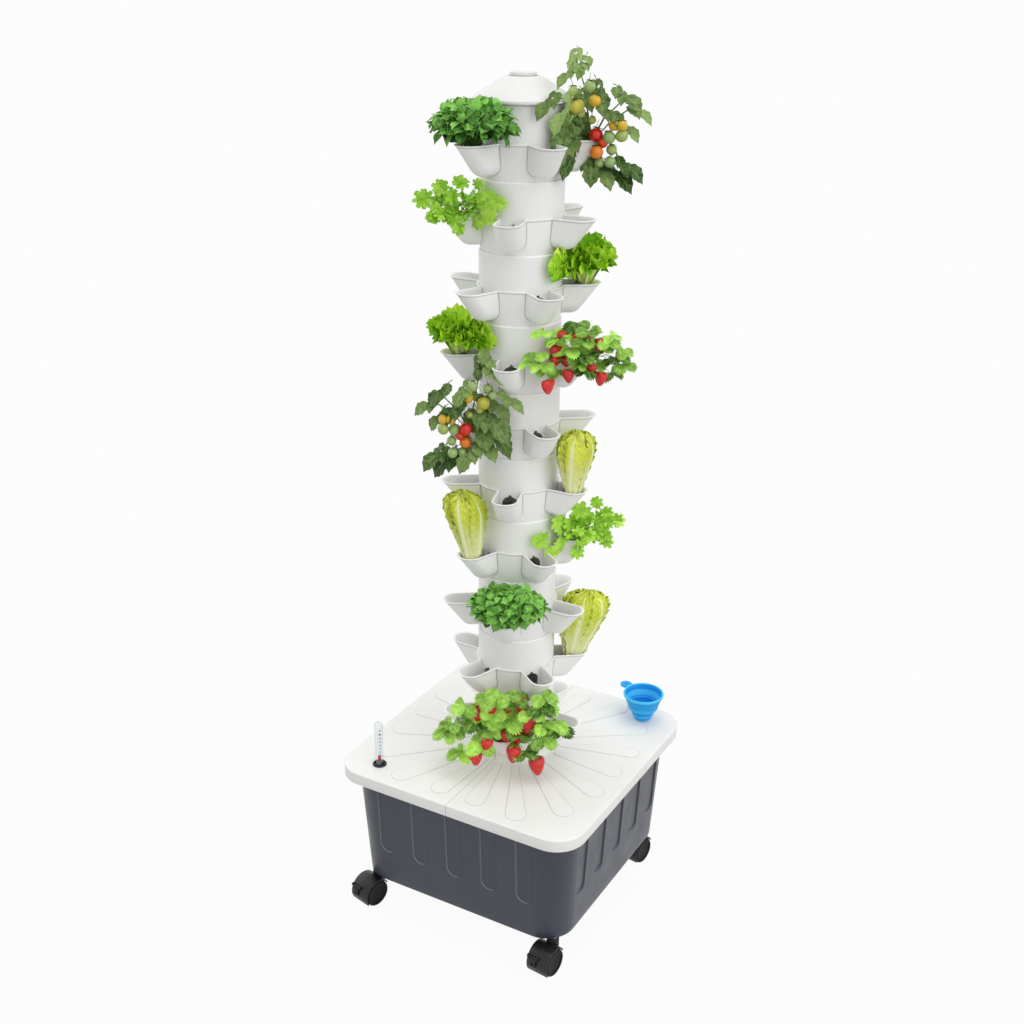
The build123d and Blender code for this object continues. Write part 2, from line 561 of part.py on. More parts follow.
def gauge_pieces():
    """Level gauge: grommet in the lid, guide, clear tube, red rod and float."""
    tube_foot = -GROMMET_DEPTH
    grommet = turned((GAUGE_RADIUS + SLIP, -GROMMET_DEPTH), (PORT_RADIUS - SLIP, -GROMMET_DEPTH),
                     (PORT_RADIUS - SLIP, 0), (GROMMET_RADIUS, 0), (GROMMET_RADIUS, GROMMET_FLANGE * 0.6),
                     (GROMMET_RADIUS - 1.5, GROMMET_FLANGE), (GAUGE_RADIUS + SLIP, GROMMET_FLANGE))
    dome = GAUGE_HEIGHT - GAUGE_RADIUS / 2
    bore = GAUGE_RADIUS - GAUGE_WALL
    tube = turned((bore, tube_foot), (GAUGE_RADIUS, tube_foot), (GAUGE_RADIUS, dome),
                  (GAUGE_RADIUS * 0.55, GAUGE_HEIGHT), (0, GAUGE_HEIGHT), (0, GAUGE_HEIGHT - GAUGE_WALL),
                  (bore * 0.55, GAUGE_HEIGHT - GAUGE_WALL), (bore, dome - GAUGE_WALL))
    guide = turned((ROD_RADIUS + BODY_GAP, tube_foot), (bore - SLIP, tube_foot), (bore - SLIP, GROMMET_FLANGE),
                   (GUIDE_TIP_RADIUS, GUIDE_HEIGHT), (ROD_RADIUS + BODY_GAP, GUIDE_HEIGHT))
    head = GUIDE_HEIGHT + BODY_GAP
    stick = turned((0, -ROD_DROP), (ROD_RADIUS, -ROD_DROP), (ROD_RADIUS, head), (ROD_HEAD_RADIUS, head),
                   (ROD_HEAD_RADIUS, head + ROD_HEAD), (0, head + ROD_HEAD))
    bob_top = -ROD_DROP + FLOAT_HEIGHT / 2
    bob = turned((ROD_RADIUS + SLIP, bob_top - FLOAT_HEIGHT), (FLOAT_RADIUS * 0.8, bob_top - FLOAT_HEIGHT),
                 (FLOAT_RADIUS, bob_top - FLOAT_HEIGHT * 0.75), (FLOAT_RADIUS, bob_top - FLOAT_HEIGHT * 0.25),
                 (FLOAT_RADIUS * 0.8, bob_top), (ROD_RADIUS + SLIP, bob_top))
    named = {"gauge_grommet": grommet, "gauge_tube": tube, "gauge_guide": guide, "gauge_rod": stick,
             "gauge_float": bob}
    return {name: at_gauge(shape) for name, shape in named.items()}


def funnel():
    """Collapsible funnel: a spout in the filler port and a stepped bellows above the lid."""
    outer = [(radius, height) for radius, height in FUNNEL_STEPS]
    inner = [(radius - FUNNEL_WALL, height) for radius, height in reversed(FUNNEL_STEPS[1:])]
    bore = SPOUT_RADIUS - FUNNEL_WALL
    body = turned((bore, -SPOUT_LENGTH), (SPOUT_RADIUS, -SPOUT_LENGTH), (SPOUT_RADIUS, 0), *outer, *inner,
                  (FUNNEL_STEPS[0][0] - FUNNEL_WALL, FUNNEL_WALL), (bore, FUNNEL_WALL))
    rim_radius, rim_height = FUNNEL_STEPS[-1]
    lobe = make_hull((Pos(rim_radius, 0) * Circle(TAB_RADIUS * 0.8)).edges()
                     + (Pos(TAB_REACH, 0) * Circle(TAB_RADIUS)).edges())
    tab = Pos(0, 0, rim_height - TAB_THICK) * extrude(lobe - Pos(TAB_REACH, 0) * Circle(TAB_HOLE), amount=TAB_THICK)
    tab -= rod(rim_radius - FUNNEL_WALL / 2, 0, rim_height + OVERCUT)
    return Pos(PORT_X, PORT_Y, LID_TOP + BODY_GAP) * (body + Rot(0, 0, TAB_AZIMUTH) * tab)


def caster_place(name):
    """Where a caster's swivel axis stands, and how it is turned at rest."""
    across, along, turn = CASTERS[name]
    return Pos(across * CASTER_SPAN, along * CASTER_SPAN, 0) * Rot(0, 0, turn)


def on_axle(shape):
    """Lay a shape that stands on Z along a caster's axle."""
    return Pos(0, -CASTER_TRAIL, WHEEL_RADIUS) * Rot(0, 90, 0) * shape


def hood_half_width():
    """Half the width of a hood: half its web and one wheel with running room."""
    return HOOD_WEB / 2 + BODY_GAP + WHEEL_WIDTH


def hood_angle_point(radius, angle):
    """Point beside the axle at an angle up from the trailing side."""
    return -CASTER_TRAIL - radius * cos(radians(angle)), WHEEL_RADIUS + radius * sin(radians(angle))


def caster_hood(braked):
    """Hood over both wheels, with the web that holds the axle and the boss round the stem."""
    inner = WHEEL_RADIUS + 1.0
    outer = inner + HOOD_WALL
    width = 2 * hood_half_width()
    disc = on_axle(rod(outer, -width / 2, width / 2))
    wells = [on_axle(rod(inner, side * HOOD_WEB / 2, side * width)) for side in (-1, 1)]
    reach = 4 * outer
    middle = radians((HOOD_FRONT_ANGLE + HOOD_REAR_ANGLE) / 2)
    floor_y, floor_z = hood_angle_point(-reach / 2, degrees(middle))
    under = Pos(0, floor_y, floor_z) * Rot(90 - degrees(middle), 0, 0) * Box(reach, reach, reach)
    boss_top = CASTER_HEIGHT - STEM_COLLAR_HEIGHT - BODY_GAP
    boss = rod(BOSS_RADIUS, boss_top - STEM_DEPTH - HOOD_WALL, boss_top)
    hood = disc - under + boss - wells
    hood -= rod(STEM_RADIUS + RUN, boss_top - STEM_DEPTH, boss_top + OVERCUT)
    axle_boss = on_axle(rod(AXLE_RADIUS + HOOD_WALL, -HOOD_WEB / 2, HOOD_WEB / 2))
    hood += axle_boss
    hood -= on_axle(rod(AXLE_RADIUS + RUN / 2, -width, width))
    if braked:
        pin_y, pin_z = hood_angle_point(outer + BRAKE_THICK / 2 + BODY_GAP, BRAKE_PIN_ANGLE)
        ear_reach = BRAKE_THICK
        for side in (-1, 1):
            place = Pos(BRAKE_SIDE + side * (BRAKE_WIDTH / 2 + BODY_GAP + BRAKE_THICK / 2), pin_y, pin_z)
            ear = place * Rot(0, 90, 0) * rod(ear_reach, -BRAKE_THICK / 2, BRAKE_THICK / 2)
            hood += ear
        for side in (-1, 1):
            start = side * BRAKE_WIDTH / 2 - side * OVERCUT
            end = side * (BRAKE_WIDTH / 2 + BODY_GAP + BRAKE_THICK + OVERCUT)
            hole = Pos(BRAKE_SIDE, pin_y, pin_z) * Rot(0, 90, 0) * rod(
                BRAKE_PIN_RADIUS + RUN, min(start, end), max(start, end))
            hood -= hole
    return hood


def brake_lever():
    """Brake pedal: a plate hanging from its pin across the hood's trailing face."""
    outer = WHEEL_RADIUS + 1.0 + HOOD_WALL
    pin_radius = outer + BRAKE_THICK / 2 + BODY_GAP
    pin_y, pin_z = hood_angle_point(pin_radius, BRAKE_PIN_ANGLE)
    sweep = degrees(BRAKE_LENGTH / pin_radius)
    ring = on_axle(pipe(outer + BODY_GAP + BRAKE_THICK, outer + BODY_GAP, -BRAKE_WIDTH / 2, BRAKE_WIDTH / 2))
    reach = 4 * outer
    low = BRAKE_PIN_ANGLE - sweep
    top_y, top_z = hood_angle_point(reach / 2, BRAKE_PIN_ANGLE + 90)
    low_y, low_z = hood_angle_point(reach / 2, low - 90)
    above = Pos(0, top_y, top_z) * Rot(-BRAKE_PIN_ANGLE, 0, 0) * Box(reach, reach, reach)
    below = Pos(0, low_y, low_z) * Rot(-low, 0, 0) * Box(reach, reach, reach)
    behind = Pos(0, -CASTER_TRAIL + reach / 2, WHEEL_RADIUS) * Box(reach, reach, reach)
    plate = ring - above - below - behind
    pin = Pos(0, pin_y, pin_z) * Rot(0, 90, 0) * rod(
        BRAKE_PIN_RADIUS, -BRAKE_WIDTH / 2 - BODY_GAP - BRAKE_THICK, BRAKE_WIDTH / 2 + BODY_GAP + BRAKE_THICK)
    knuckle = Pos(0, pin_y, pin_z) * Rot(0, 90, 0) * rod(BRAKE_THICK / 2, -BRAKE_WIDTH / 2, BRAKE_WIDTH / 2)
    return Pos(BRAKE_SIDE, 0, 0) * (plate + knuckle + pin)


def caster_wheels():
    """Pair of wheels on one axle, dished on their outer faces."""
    near = HOOD_WEB / 2 + BODY_GAP
    far = near + WHEEL_WIDTH
    bore = AXLE_RADIUS + RUN
    edge = 1.5
    wheel = turned((bore, near), (WHEEL_RADIUS - edge, near), (WHEEL_RADIUS, near + edge),
                   (WHEEL_RADIUS, far - 2 * edge), (WHEEL_RADIUS - 2 * edge, far), (WHEEL_DISH_RADIUS, far),
                   (WHEEL_DISH_RADIUS - edge, far - WHEEL_DISH), (bore, far - WHEEL_DISH))
    return Compound(children=[on_axle(wheel), on_axle(Rot(180, 0, 0) * wheel)])


def caster_axle():
    """Steel axle through the hood's web and both wheels."""
    reach = HOOD_WEB / 2 + BODY_GAP + WHEEL_WIDTH - WHEEL_DISH
    return on_axle(rod(AXLE_RADIUS, -reach, reach))


def caster_stems():
    """Four stems fixed in the tank's floor, each with the collar that the hood turns under."""
    boss_top = CASTER_HEIGHT - STEM_COLLAR_HEIGHT - BODY_GAP
    nut = TANK_FLOOR + TANK_WALL
    stem = turned((0, boss_top - STEM_DEPTH + BODY_GAP), (STEM_RADIUS, boss_top - STEM_DEPTH + BODY_GAP),
                  (STEM_RADIUS, TANK_FLOOR - STEM_COLLAR_HEIGHT),
                  (STEM_COLLAR_RADIUS, TANK_FLOOR - STEM_COLLAR_HEIGHT),
                  (STEM_COLLAR_RADIUS, TANK_FLOOR), (STEM_RADIUS, TANK_FLOOR), (STEM_RADIUS, nut),
                  (STEM_NUT_RADIUS, nut), (STEM_NUT_RADIUS, nut + STEM_COLLAR_HEIGHT),
                  (0, nut + STEM_COLLAR_HEIGHT))
    return Compound(children=[Pos(across * CASTER_SPAN, along * CASTER_SPAN, 0) * stem
                              for across, along, _ in CASTERS.values()])


def cup_lean():
    """Lean of a cup from upright, so that its tapered wall lies along the pod's sloping nose."""
    taper = atan2(CUP_RADIUS - CUP_LIP - CUP_FOOT_RADIUS, CUP_DEPTH - CUP_LIP)
    return degrees(atan2(POD_SLOPE, 1.0) - taper)


def cup_centre():
    """Radius of the middle of a cup's mouth, with its lip seated against the pod's nose."""
    lean = radians(cup_lean())
    lip_reach = CUP_RADIUS * cos(lean) - CUP_LIP * sin(lean)
    lip_depth = CUP_SINK + CUP_RADIUS * sin(lean) + CUP_LIP * cos(lean)
    nose = POD_REACH - POD_SLOPE * lip_depth
    return nose - POD_WALL / cos(atan2(POD_SLOPE, 1.0)) - SLIP - lip_reach


def cup_place(tier, azimuth):
    """Where the net cup of a planted pod sits, leaning out along the pod's nose."""
    return Rot(0, 0, azimuth) * Pos(cup_centre(), 0, rim_level(tier) - CUP_SINK) * Rot(0, cup_lean(), 0)


def net_cup():
    """Slotted basket with a lip; its mouth is at Z = 0."""
    cup = turned((0, -CUP_DEPTH), (CUP_FOOT_RADIUS, -CUP_DEPTH), (CUP_RADIUS - CUP_LIP, -CUP_LIP),
                 (CUP_RADIUS, -CUP_LIP), (CUP_RADIUS, 0), (CUP_RADIUS - CUP_LIP - CUP_WALL, 0),
                 (CUP_FOOT_RADIUS - CUP_WALL, CUP_WALL - CUP_DEPTH), (0, CUP_WALL - CUP_DEPTH))
    slot = Pos(CUP_RADIUS, 0, -CUP_DEPTH / 2) * Box(CUP_RADIUS * 1.6, CUP_SLOT_WIDTH, CUP_DEPTH / 2)
    return cup - spread(slot, CUP_SLOTS)


def net_cups():
    """One basket in each planted pod."""
    cup = net_cup()
    places = [spot for _, _, spots in PLANTS.values() for spot in spots]
    return Compound(children=[cup_place(tier, azimuth) * cup for tier, azimuth in places])


def octagon(radius, across, outwards, height):
    """Section of a plant, square to Z."""
    return Pos(outwards, across, height) * RegularPolygon(radius, CROWN_SIDES)


def plug():
    """Root plug that stands on the floor of its cup."""
    room = SLIP + BODY_GAP
    floor = CUP_WALL - CUP_DEPTH
    foot = octagon(CUP_FOOT_RADIUS - CUP_WALL - room, 0, 0, floor)
    top = octagon(CUP_RADIUS - CUP_LIP - CUP_WALL - room - PLUG_DEPTH / 2, 0, 0, -PLUG_DEPTH)
    return Rot(0, cup_lean(), 0) * loft([foot, top], ruled=True)


def plant(crown, fruit):
    """Plain plant form over its plug; the cup's mouth is at Z = 0 and the pod points along +X."""
    stalk = octagon(STALK_RADIUS, 0, -PLUG_DEPTH, -2 * PLUG_DEPTH)
    levels = [octagon(radius, 0, lean, height + CUP_SINK) for height, radius, lean in crown]
    form = loft([stalk] + levels, ruled=True)
    for across, outwards, low, radius in fruit:
        hang = crown[1][0] + CUP_SINK
        drop = low + CUP_SINK
        form += loft([octagon(radius / 4, across, outwards, hang + radius),
                      octagon(radius / 4, across, outwards, drop + 2.4 * radius),
                      octagon(radius, across, outwards, drop + 1.2 * radius),
                      octagon(radius / 3, across, outwards, drop)], ruled=True)
    column = Pos(-cup_centre(), 0, 0) * rod(CAP_RADIUS + CROWN_CLEAR / 2, -CUP_DEPTH / 2, 2 * TIER_PITCH)
    return form - column + plug()


def plants(crown, fruit, spots):
    """All the plants of one kind, upright over their cups."""
    form = plant(crown, fruit)
    return Compound(children=[Rot(0, 0, azimuth) * Pos(cup_centre(), 0, rim_level(tier) - CUP_SINK) * form
                              for tier, azimuth in spots])


def build():
    """Every node of the tower by name."""
    nodes = {"tank": tank()}
    shell = whole_lid()
    nodes["lid_left"] = lid_half(shell, -1)
    nodes["lid_right"] = lid_half(shell, 1)
    ring = pod_ring()
    column = tower_tube()
    for tier in range(1, TIERS + 1):
        turn = Rot(0, 0, tier_turn(tier))
        nodes[f"pod_ring_{tier:02d}"] = Pos(0, 0, ledge_level(tier)) * turn * ring
        nodes[f"tube_{tier:02d}"] = Pos(0, 0, rim_level(tier)) * turn * column
    nodes["top_cap"] = Pos(0, 0, CAP_SEAT) * top_cap()
    nodes["distributor"] = Pos(0, 0, CAP_SEAT - SPIGOT) * distributor()
    nodes["riser_pipe"] = riser_pipe()
    nodes["riser_coupling"] = riser_coupling()
    nodes["pump_body"] = pump_body()
    nodes["pump_cover"] = pump_cover()
    nodes["pump_impeller"] = pump_impeller()
    nodes["pump_shaft"] = pump_shaft()
    nodes["pump_feet"] = pump_feet()
    nodes.update(gauge_pieces())
    nodes["funnel"] = funnel()
    nodes["caster_stems"] = caster_stems()
    for name in CASTERS:
        place = caster_place(name)
        nodes[f"caster_hood_{name}"] = place * caster_hood(name in BRAKED)
        nodes[f"caster_wheels_{name}"] = place * caster_wheels()
        nodes[f"caster_axle_{name}"] = place * caster_axle()
        if name in BRAKED:
            nodes[f"brake_lever_{name}"] = place * brake_lever()
    nodes["net_cups"] = net_cups()
    for name, (crown, fruit, spots) in PLANTS.items():
        nodes[name] = plants(crown, fruit, spots)
    return nodes


os.makedirs("parts", exist_ok=True)
for node, shape in build().items():
    export_step(shape, f"parts/{node}.step")
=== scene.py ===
import logging
import math
import random
from dataclasses import dataclass, field, replace
from enum import Enum
from functools import cache
from typing import Callable, Iterable, Sequence

import bmesh
import bpy
from mathutils import Matrix, Vector


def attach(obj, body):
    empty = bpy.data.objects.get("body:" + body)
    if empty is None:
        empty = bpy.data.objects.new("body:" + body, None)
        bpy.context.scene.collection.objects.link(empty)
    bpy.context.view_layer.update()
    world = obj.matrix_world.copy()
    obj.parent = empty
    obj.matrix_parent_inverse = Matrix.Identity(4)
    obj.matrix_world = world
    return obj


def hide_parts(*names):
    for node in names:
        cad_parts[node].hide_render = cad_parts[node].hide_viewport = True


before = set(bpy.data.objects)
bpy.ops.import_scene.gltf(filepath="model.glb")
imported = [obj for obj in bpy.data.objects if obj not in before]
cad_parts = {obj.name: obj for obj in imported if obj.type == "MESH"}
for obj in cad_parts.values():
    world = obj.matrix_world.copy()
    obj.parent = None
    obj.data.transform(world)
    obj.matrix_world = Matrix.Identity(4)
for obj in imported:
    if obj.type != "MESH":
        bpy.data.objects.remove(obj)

LOG = logging.getLogger("hydroponic_tower")
MM = 0.001
NEAR = 1e-6
GOLDEN_SHARE = 0.618
Rgb = tuple[int, int, int]
Pair = tuple[float, float]
Triple = tuple[float, float, float]
Node = bpy.types.Node
Socket = bpy.types.NodeSocket
Mesh = bpy.types.Mesh
Vert = bmesh.types.BMVert


def linear(red: int, green: int, blue: int) -> tuple[float, float, float, float]:
    """Turns an eight-bit display colour into the linear colour that shaders take.

    Args:
        red, green, blue: Display values from 0 to 255.

    Returns:
        The linear colour with full alpha.
    """
    def channel(value: int) -> float:
        share = value / 255
        return share / 12.92 if share <= 0.04045 else ((share + 0.055) / 1.055) ** 2.4

    return channel(red), channel(green), channel(blue), 1.0



def dimmed(colour: Rgb, share: float) -> Rgb:
    """Gives a display colour at a share of its strength."""
    return tuple(int(value * share) for value in colour)


def unit(value: float) -> float:
    """Keeps a value from 0 to 1."""
    return min(max(value, 0.0), 1.0)


def polar(radius: float, angle: float, height: float = 0.0) -> Vector:
    """Gives the point at a radius and angle about the tower's axis."""
    return Vector((radius * math.cos(angle), radius * math.sin(angle), height))


def lift(height: float) -> Vector:
    """Gives the point at a height on the tower's axis."""
    return Vector((0, 0, height))


def metres(*points: Pair) -> list[Pair]:
    """Turns points in millimetres into metres."""
    return [(first * MM, second * MM) for first, second in points]


def flowing(points: Sequence[Pair], steps: int) -> list[Pair]:
    """Draws a smooth run through points.

    Args:
        points: Places in order.
        steps: Number of spans between two places.

    Returns:
        The points with rounded ones between them.
    """
    ends = [points[0], *points, points[-1]]
    run = []
    for a, b, c, d in zip(ends, ends[1:], ends[2:], ends[3:]):
        for i in range(steps):
            t = i / steps
            run.append(tuple(
                0.5 * (2 * q + (r - p) * t + (2 * p - 5 * q + 4 * r - u) * t * t + (3 * q - p - 3 * r + u) * t ** 3)
                for p, q, r, u in zip(a, b, c, d)))
    return run + [tuple(points[-1])]


@dataclass(frozen=True)
class TowerPlan:
    """Sizes that the stacked pieces share, in metres."""

    tiers: int = 10
    pods: int = 5
    pitch: float = 112 * MM
    seat: float = 315 * MM
    ring_height: float = 56.4 * MM
    ring_wall: float = 1.9 * MM
    spigot_radius: float = 65.2 * MM
    spigot_drop: float = 12 * MM
    rim_radius: float = 69.8 * MM
    tube_radius: float = 67.6 * MM
    tube_bore: float = 65.4 * MM
    tube_rise: float = 55.6 * MM
    pod_reach: float = 130.5 * MM
    pod_half: float = 21 * MM
    pod_depth: float = 50 * MM
    pod_slope: float = 0.78

    def ledge(self, tier: int) -> float:
        """Gives the height that a tier's pod ring stands on."""
        return self.seat + (self.tiers - tier) * self.pitch

    def rim(self, tier: int) -> float:
        """Gives the height of a tier's pod rims."""
        return self.ledge(tier) + self.ring_height

    def turn(self, tier: int) -> float:
        """Gives the angle by which a tier is turned; odd tiers sit between the even ones."""
        return math.pi / self.pods if tier % 2 else 0.0

    def stand(self, tier: int, height: float) -> Matrix:
        """Gives a place on the tower's axis, turned as the tier is."""
        return Matrix.Translation((0, 0, height)) @ Matrix.Rotation(self.turn(tier), 4, "Z")


PLAN = TowerPlan()


# ---------------------------------------------------------------- finishes


class Bench:
    """Wires shader nodes in one tree."""

    mix_entries = (0, 6, 7)
    mix_exit = 2

    def __init__(self, tree: bpy.types.NodeTree) -> None:
        self.tree = tree

    @classmethod
    def cleared(cls, owner: bpy.types.Material | bpy.types.World) -> "Bench":
        """Empties the node tree of a material or a world and opens it."""
        owner.use_nodes = True
        owner.node_tree.nodes.clear()
        return cls(owner.node_tree)

    def add(self, kind: str, **settings: object) -> Node:
        """Adds a node and sets its properties.

        Args:
            kind: Node type without the ShaderNode prefix.
            settings: Node properties by name.

        Returns:
            The new node.
        """
        node = self.tree.nodes.new(kind if kind.startswith("Node") else "ShaderNode" + kind)
        for name, value in settings.items():
            setattr(node, name, value)
        return node

    def feed(self, node: Node, entries: dict[str | int, object]) -> Node:
        """Feeds inputs of a node.

        Args:
            node: Node that is fed.
            entries: Sockets or plain values by the input's name or index.

        Returns:
            The same node.
        """
        for entry, value in entries.items():
            if isinstance(value, Socket):
                self.tree.links.new(value, node.inputs[entry])
            else:
                node.inputs[entry].default_value = value
        return node

    def group(self, tree: bpy.types.NodeTree, entries: dict[str, object]) -> Node:
        """Adds a node group and feeds its inputs."""
        return self.feed(self.add("Group", node_tree=tree), entries)

    def here(self) -> Socket:
        """Gives the place on the object that is shaded."""
        return self.add("TexCoord").outputs["Object"]

    def noise(self, point: Socket, scale: object, detail: float = 3.0, rough: float = 0.5) -> Socket:
        """Adds a noise texture.

        Args:
            point: Vector socket that the texture reads.
            scale: Noise scale, in cells a metre, a socket or a number.
            detail, rough: Number and strength of the finer octaves.

        Returns:
            The value output, from 0 to 1.
        """
        node = self.add("TexNoise")
        self.feed(node, {"Vector": point, "Scale": scale, "Detail": detail, "Roughness": rough})
        return node.outputs["Fac"]

    def math(self, operation: str, first: object, second: object = 0.0, clamp: bool = False) -> Socket:
        """Adds a math node.

        Args:
            operation: Blender's name of the operation.
            first, second: Sockets or plain numbers.
            clamp: Keeps the result from 0 to 1.

        Returns:
            The result socket.
        """
        node = self.add("Math", operation=operation, use_clamp=clamp)
        return self.feed(node, {0: first, 1: second}).outputs[0]

    def spread(self, value: Socket, low: float, high: float, to_low: float = 0.0, to_high: float = 1.0,
               smooth: bool = False) -> Socket:
        """Maps a range of values to another, clamped.

        Args:
            value: Socket to map.
            low, high: Range it is read over.
            to_low, to_high: Range it is mapped to.
            smooth: Eases both ends.

        Returns:
            The mapped socket.
        """
        node = self.add("MapRange", interpolation_type="SMOOTHSTEP" if smooth else "LINEAR")
        return self.feed(node, dict(enumerate((value, low, high, to_low, to_high)))).outputs[0]

    def blend(self, mask: object, first: object, second: object) -> Socket:
        """Mixes two colours.

        Args:
            mask: Share of the second colour, a socket or a number.
            first, second: Colour sockets or linear colours.

        Returns:
            The mixed colour.
        """
        node = self.add("Mix", data_type="RGBA")
        return self.feed(node, dict(zip(self.mix_entries, (mask, first, second)))).outputs[self.mix_exit]

    def bump(self, height: Socket, strength: float, depth: float, invert: bool = False) -> Socket:
        """Adds a bump node.

        Args:
            height: Socket of the relief.
            strength: Share of the relief that shows.
            depth: Depth of the full relief, in metres.
            invert: Turns the relief inward.

        Returns:
            The bent normal.
        """
        node = self.add("Bump", invert=invert)
        return self.feed(node, {"Strength": strength, "Distance": depth, "Height": height}).outputs[0]

    def seen(self) -> Socket:
        """Gives 1 for rays that the camera sends straight, through clear pieces or by a mirroring face."""
        path = self.add("LightPath").outputs
        direct = self.math("MAXIMUM", path["Is Camera Ray"], path["Is Transmission Ray"])
        return self.math("MAXIMUM", direct, path["Is Glossy Ray"])


class Effects:
    """Node groups that several finishes share; each is made once."""

    @staticmethod
    def start(name: str, entries: dict[str, float], exits: Sequence[str]) -> tuple[Bench, Node, Node]:
        """Opens a new node group whose sockets are plain numbers.

        Args:
            name: Group name.
            entries: Input names with their defaults.
            exits: Output names.

        Returns:
            The group's bench, its input node and its output node.
        """
        tree = bpy.data.node_groups.new(name, "ShaderNodeTree")
        for label, default in entries.items():
            socket = tree.interface.new_socket(label, in_out="INPUT", socket_type="NodeSocketFloat")
            socket.default_value = default
        for label in exits:
            tree.interface.new_socket(label, in_out="OUTPUT", socket_type="NodeSocketFloat")
        bench = Bench(tree)
        return bench, bench.add("NodeGroupInput"), bench.add("NodeGroupOutput")

    @staticmethod
    @cache
    def moulded_skin() -> bpy.types.NodeTree:
        """Makes the skin of moulded plastic: slow mottle, gloss changes and a fine grain.

        Returns:
            A group with Mottle, Gloss and Height outputs.
        """
        bench, entry, leave = Effects.start("moulded_skin", {"Mottle Scale": 9.0, "Grain Scale": 900.0},
                                            ("Mottle", "Gloss", "Height"))
        point = bench.here()
        slow = bench.noise(point, entry.outputs["Mottle Scale"], 4.0)
        wide = bench.noise(point, 23.0, 5.0, 0.6)
        fine = bench.noise(point, entry.outputs["Grain Scale"], 2.0)
        bench.feed(leave, {"Mottle": bench.spread(slow, 0.32, 0.7), "Gloss": bench.spread(wide, 0.3, 0.7),
                           "Height": fine})
        return bench.tree

    @staticmethod
    @cache
    def settled_dust() -> bpy.types.NodeTree:
        """Makes the mask of dust that settles on faces turned upward.

        Returns:
            A group with a Mask output.
        """
        bench, entry, leave = Effects.start("settled_dust", {"Amount": 0.3}, ("Mask",))
        facing = bench.feed(bench.add("SeparateXYZ"), {0: bench.add("NewGeometry").outputs["Normal"]})
        upward = bench.spread(facing.outputs["Z"], 0.35, 0.95, smooth=True)
        patch = bench.spread(bench.noise(bench.here(), 31.0, 6.0, 0.65), 0.4, 0.75)
        dusty = bench.math("MULTIPLY", upward, patch)
        bench.feed(leave, {"Mask": bench.math("MULTIPLY", dusty, entry.outputs["Amount"])})
        return bench.tree

    @staticmethod
    @cache
    def bore_side() -> bpy.types.NodeTree:
        """Makes the mask of faces that look toward the tower's axis, where the shade inside the tower is painted.

        Returns:
            A group with a Mask output.
        """
        bench, _, leave = Effects.start("bore_side", {}, ("Mask",))
        flat = bench.feed(bench.add("VectorMath", operation="MULTIPLY"), {0: bench.here(), 1: (1, 1, 0)})
        away = bench.feed(bench.add("VectorMath", operation="NORMALIZE"), {0: flat.outputs[0]})
        facing = bench.feed(bench.add("VectorMath", operation="DOT_PRODUCT"),
                            {0: away.outputs[0], 1: bench.add("NewGeometry").outputs["Normal"]})
        bench.feed(leave, {"Mask": bench.spread(facing.outputs["Value"], -0.45, -0.7)})
        return bench.tree

    @staticmethod
    @cache
    def painted_light_lines() -> bpy.types.NodeTree:
        """Makes the masks of the painted shade lines and the painted highlight lines that a mesh carries.

        Returns:
            A group with Dark and Light outputs.
        """
        bench, entry, leave = Effects.start("painted_light_lines", {"Amount": 0.5}, ("Dark", "Light"))
        value = bench.add("Attribute", attribute_name="line").outputs["Fac"]
        for label, tone in (("Dark", value), ("Light", bench.math("MULTIPLY", value, -1.0))):
            bench.feed(leave, {label: bench.math("MULTIPLY", tone, entry.outputs["Amount"], True)})
        return bench.tree

    @staticmethod
    @cache
    def leaf_blade() -> bpy.types.NodeTree:
        """Makes a leaf's masks from its own UV: tone (the mesh's age and painted light, with random patches), veins,
        pale foot and the relief between veins.

        Returns:
            A group with Tone, Vein, Foot and Relief outputs.
        """
        bench, entry, leave = Effects.start("leaf_blade", {"Pairs": 6.0, "Rib": 0.06},
                                            ("Tone", "Vein", "Foot", "Relief"))
        place = bench.feed(bench.add("SeparateXYZ"), {0: bench.add("UVMap", uv_map="leaf").outputs[0]})
        aside = bench.math("ABSOLUTE", bench.math("SUBTRACT", place.outputs["X"], 0.5))
        along = place.outputs["Y"]
        narrow = bench.math("MULTIPLY", entry.outputs["Rib"], bench.math("SUBTRACT", 1.25, along))
        rib = bench.math("SUBTRACT", 1.0, bench.math("DIVIDE", aside, narrow), True)
        slant = bench.math("SUBTRACT", along, bench.math("MULTIPLY", aside, 0.55))
        wave = bench.math("PINGPONG", bench.math("MULTIPLY", slant, entry.outputs["Pairs"]), 0.5)
        branch = bench.math("MULTIPLY", bench.spread(wave, 0.1, 0.02), 0.6)
        age_and_light = bench.add("Attribute", attribute_name="tone").outputs["Fac"]
        patch = bench.spread(bench.noise(bench.here(), 140.0), 0.3, 0.7, -0.22, 0.22)
        swollen = bench.spread(wave, 0.0, 0.35, smooth=True)
        bench.feed(leave, {"Tone": bench.math("ADD", age_and_light, patch, True), "Vein": bench.math("MAXIMUM", rib, branch),
                           "Foot": bench.spread(along, 0.62, 0.15, smooth=True),
                           "Relief": bench.math("MULTIPLY", swollen, bench.spread(aside, 0.0, 0.12))})
        return bench.tree


class Finish:
    """A surface finish; the material is made on first use."""

    name: str

    def dress(self, bench: Bench, shader: Node) -> None:
        """Wires the finish into a Principled shader."""
        raise NotImplementedError

    def material(self) -> bpy.types.Material:
        """Gives the finish's material, made on first use.

        Returns:
            The Blender material.
        """
        found = bpy.data.materials.get("finish_" + self.name)
        if found is not None:
            return found
        made = bpy.data.materials.new("finish_" + self.name)
        bench = Bench.cleared(made)
        shader = bench.add("BsdfPrincipled")
        bench.feed(bench.add("OutputMaterial"), {"Surface": shader.outputs[0]})
        self.dress(bench, shader)
        return made


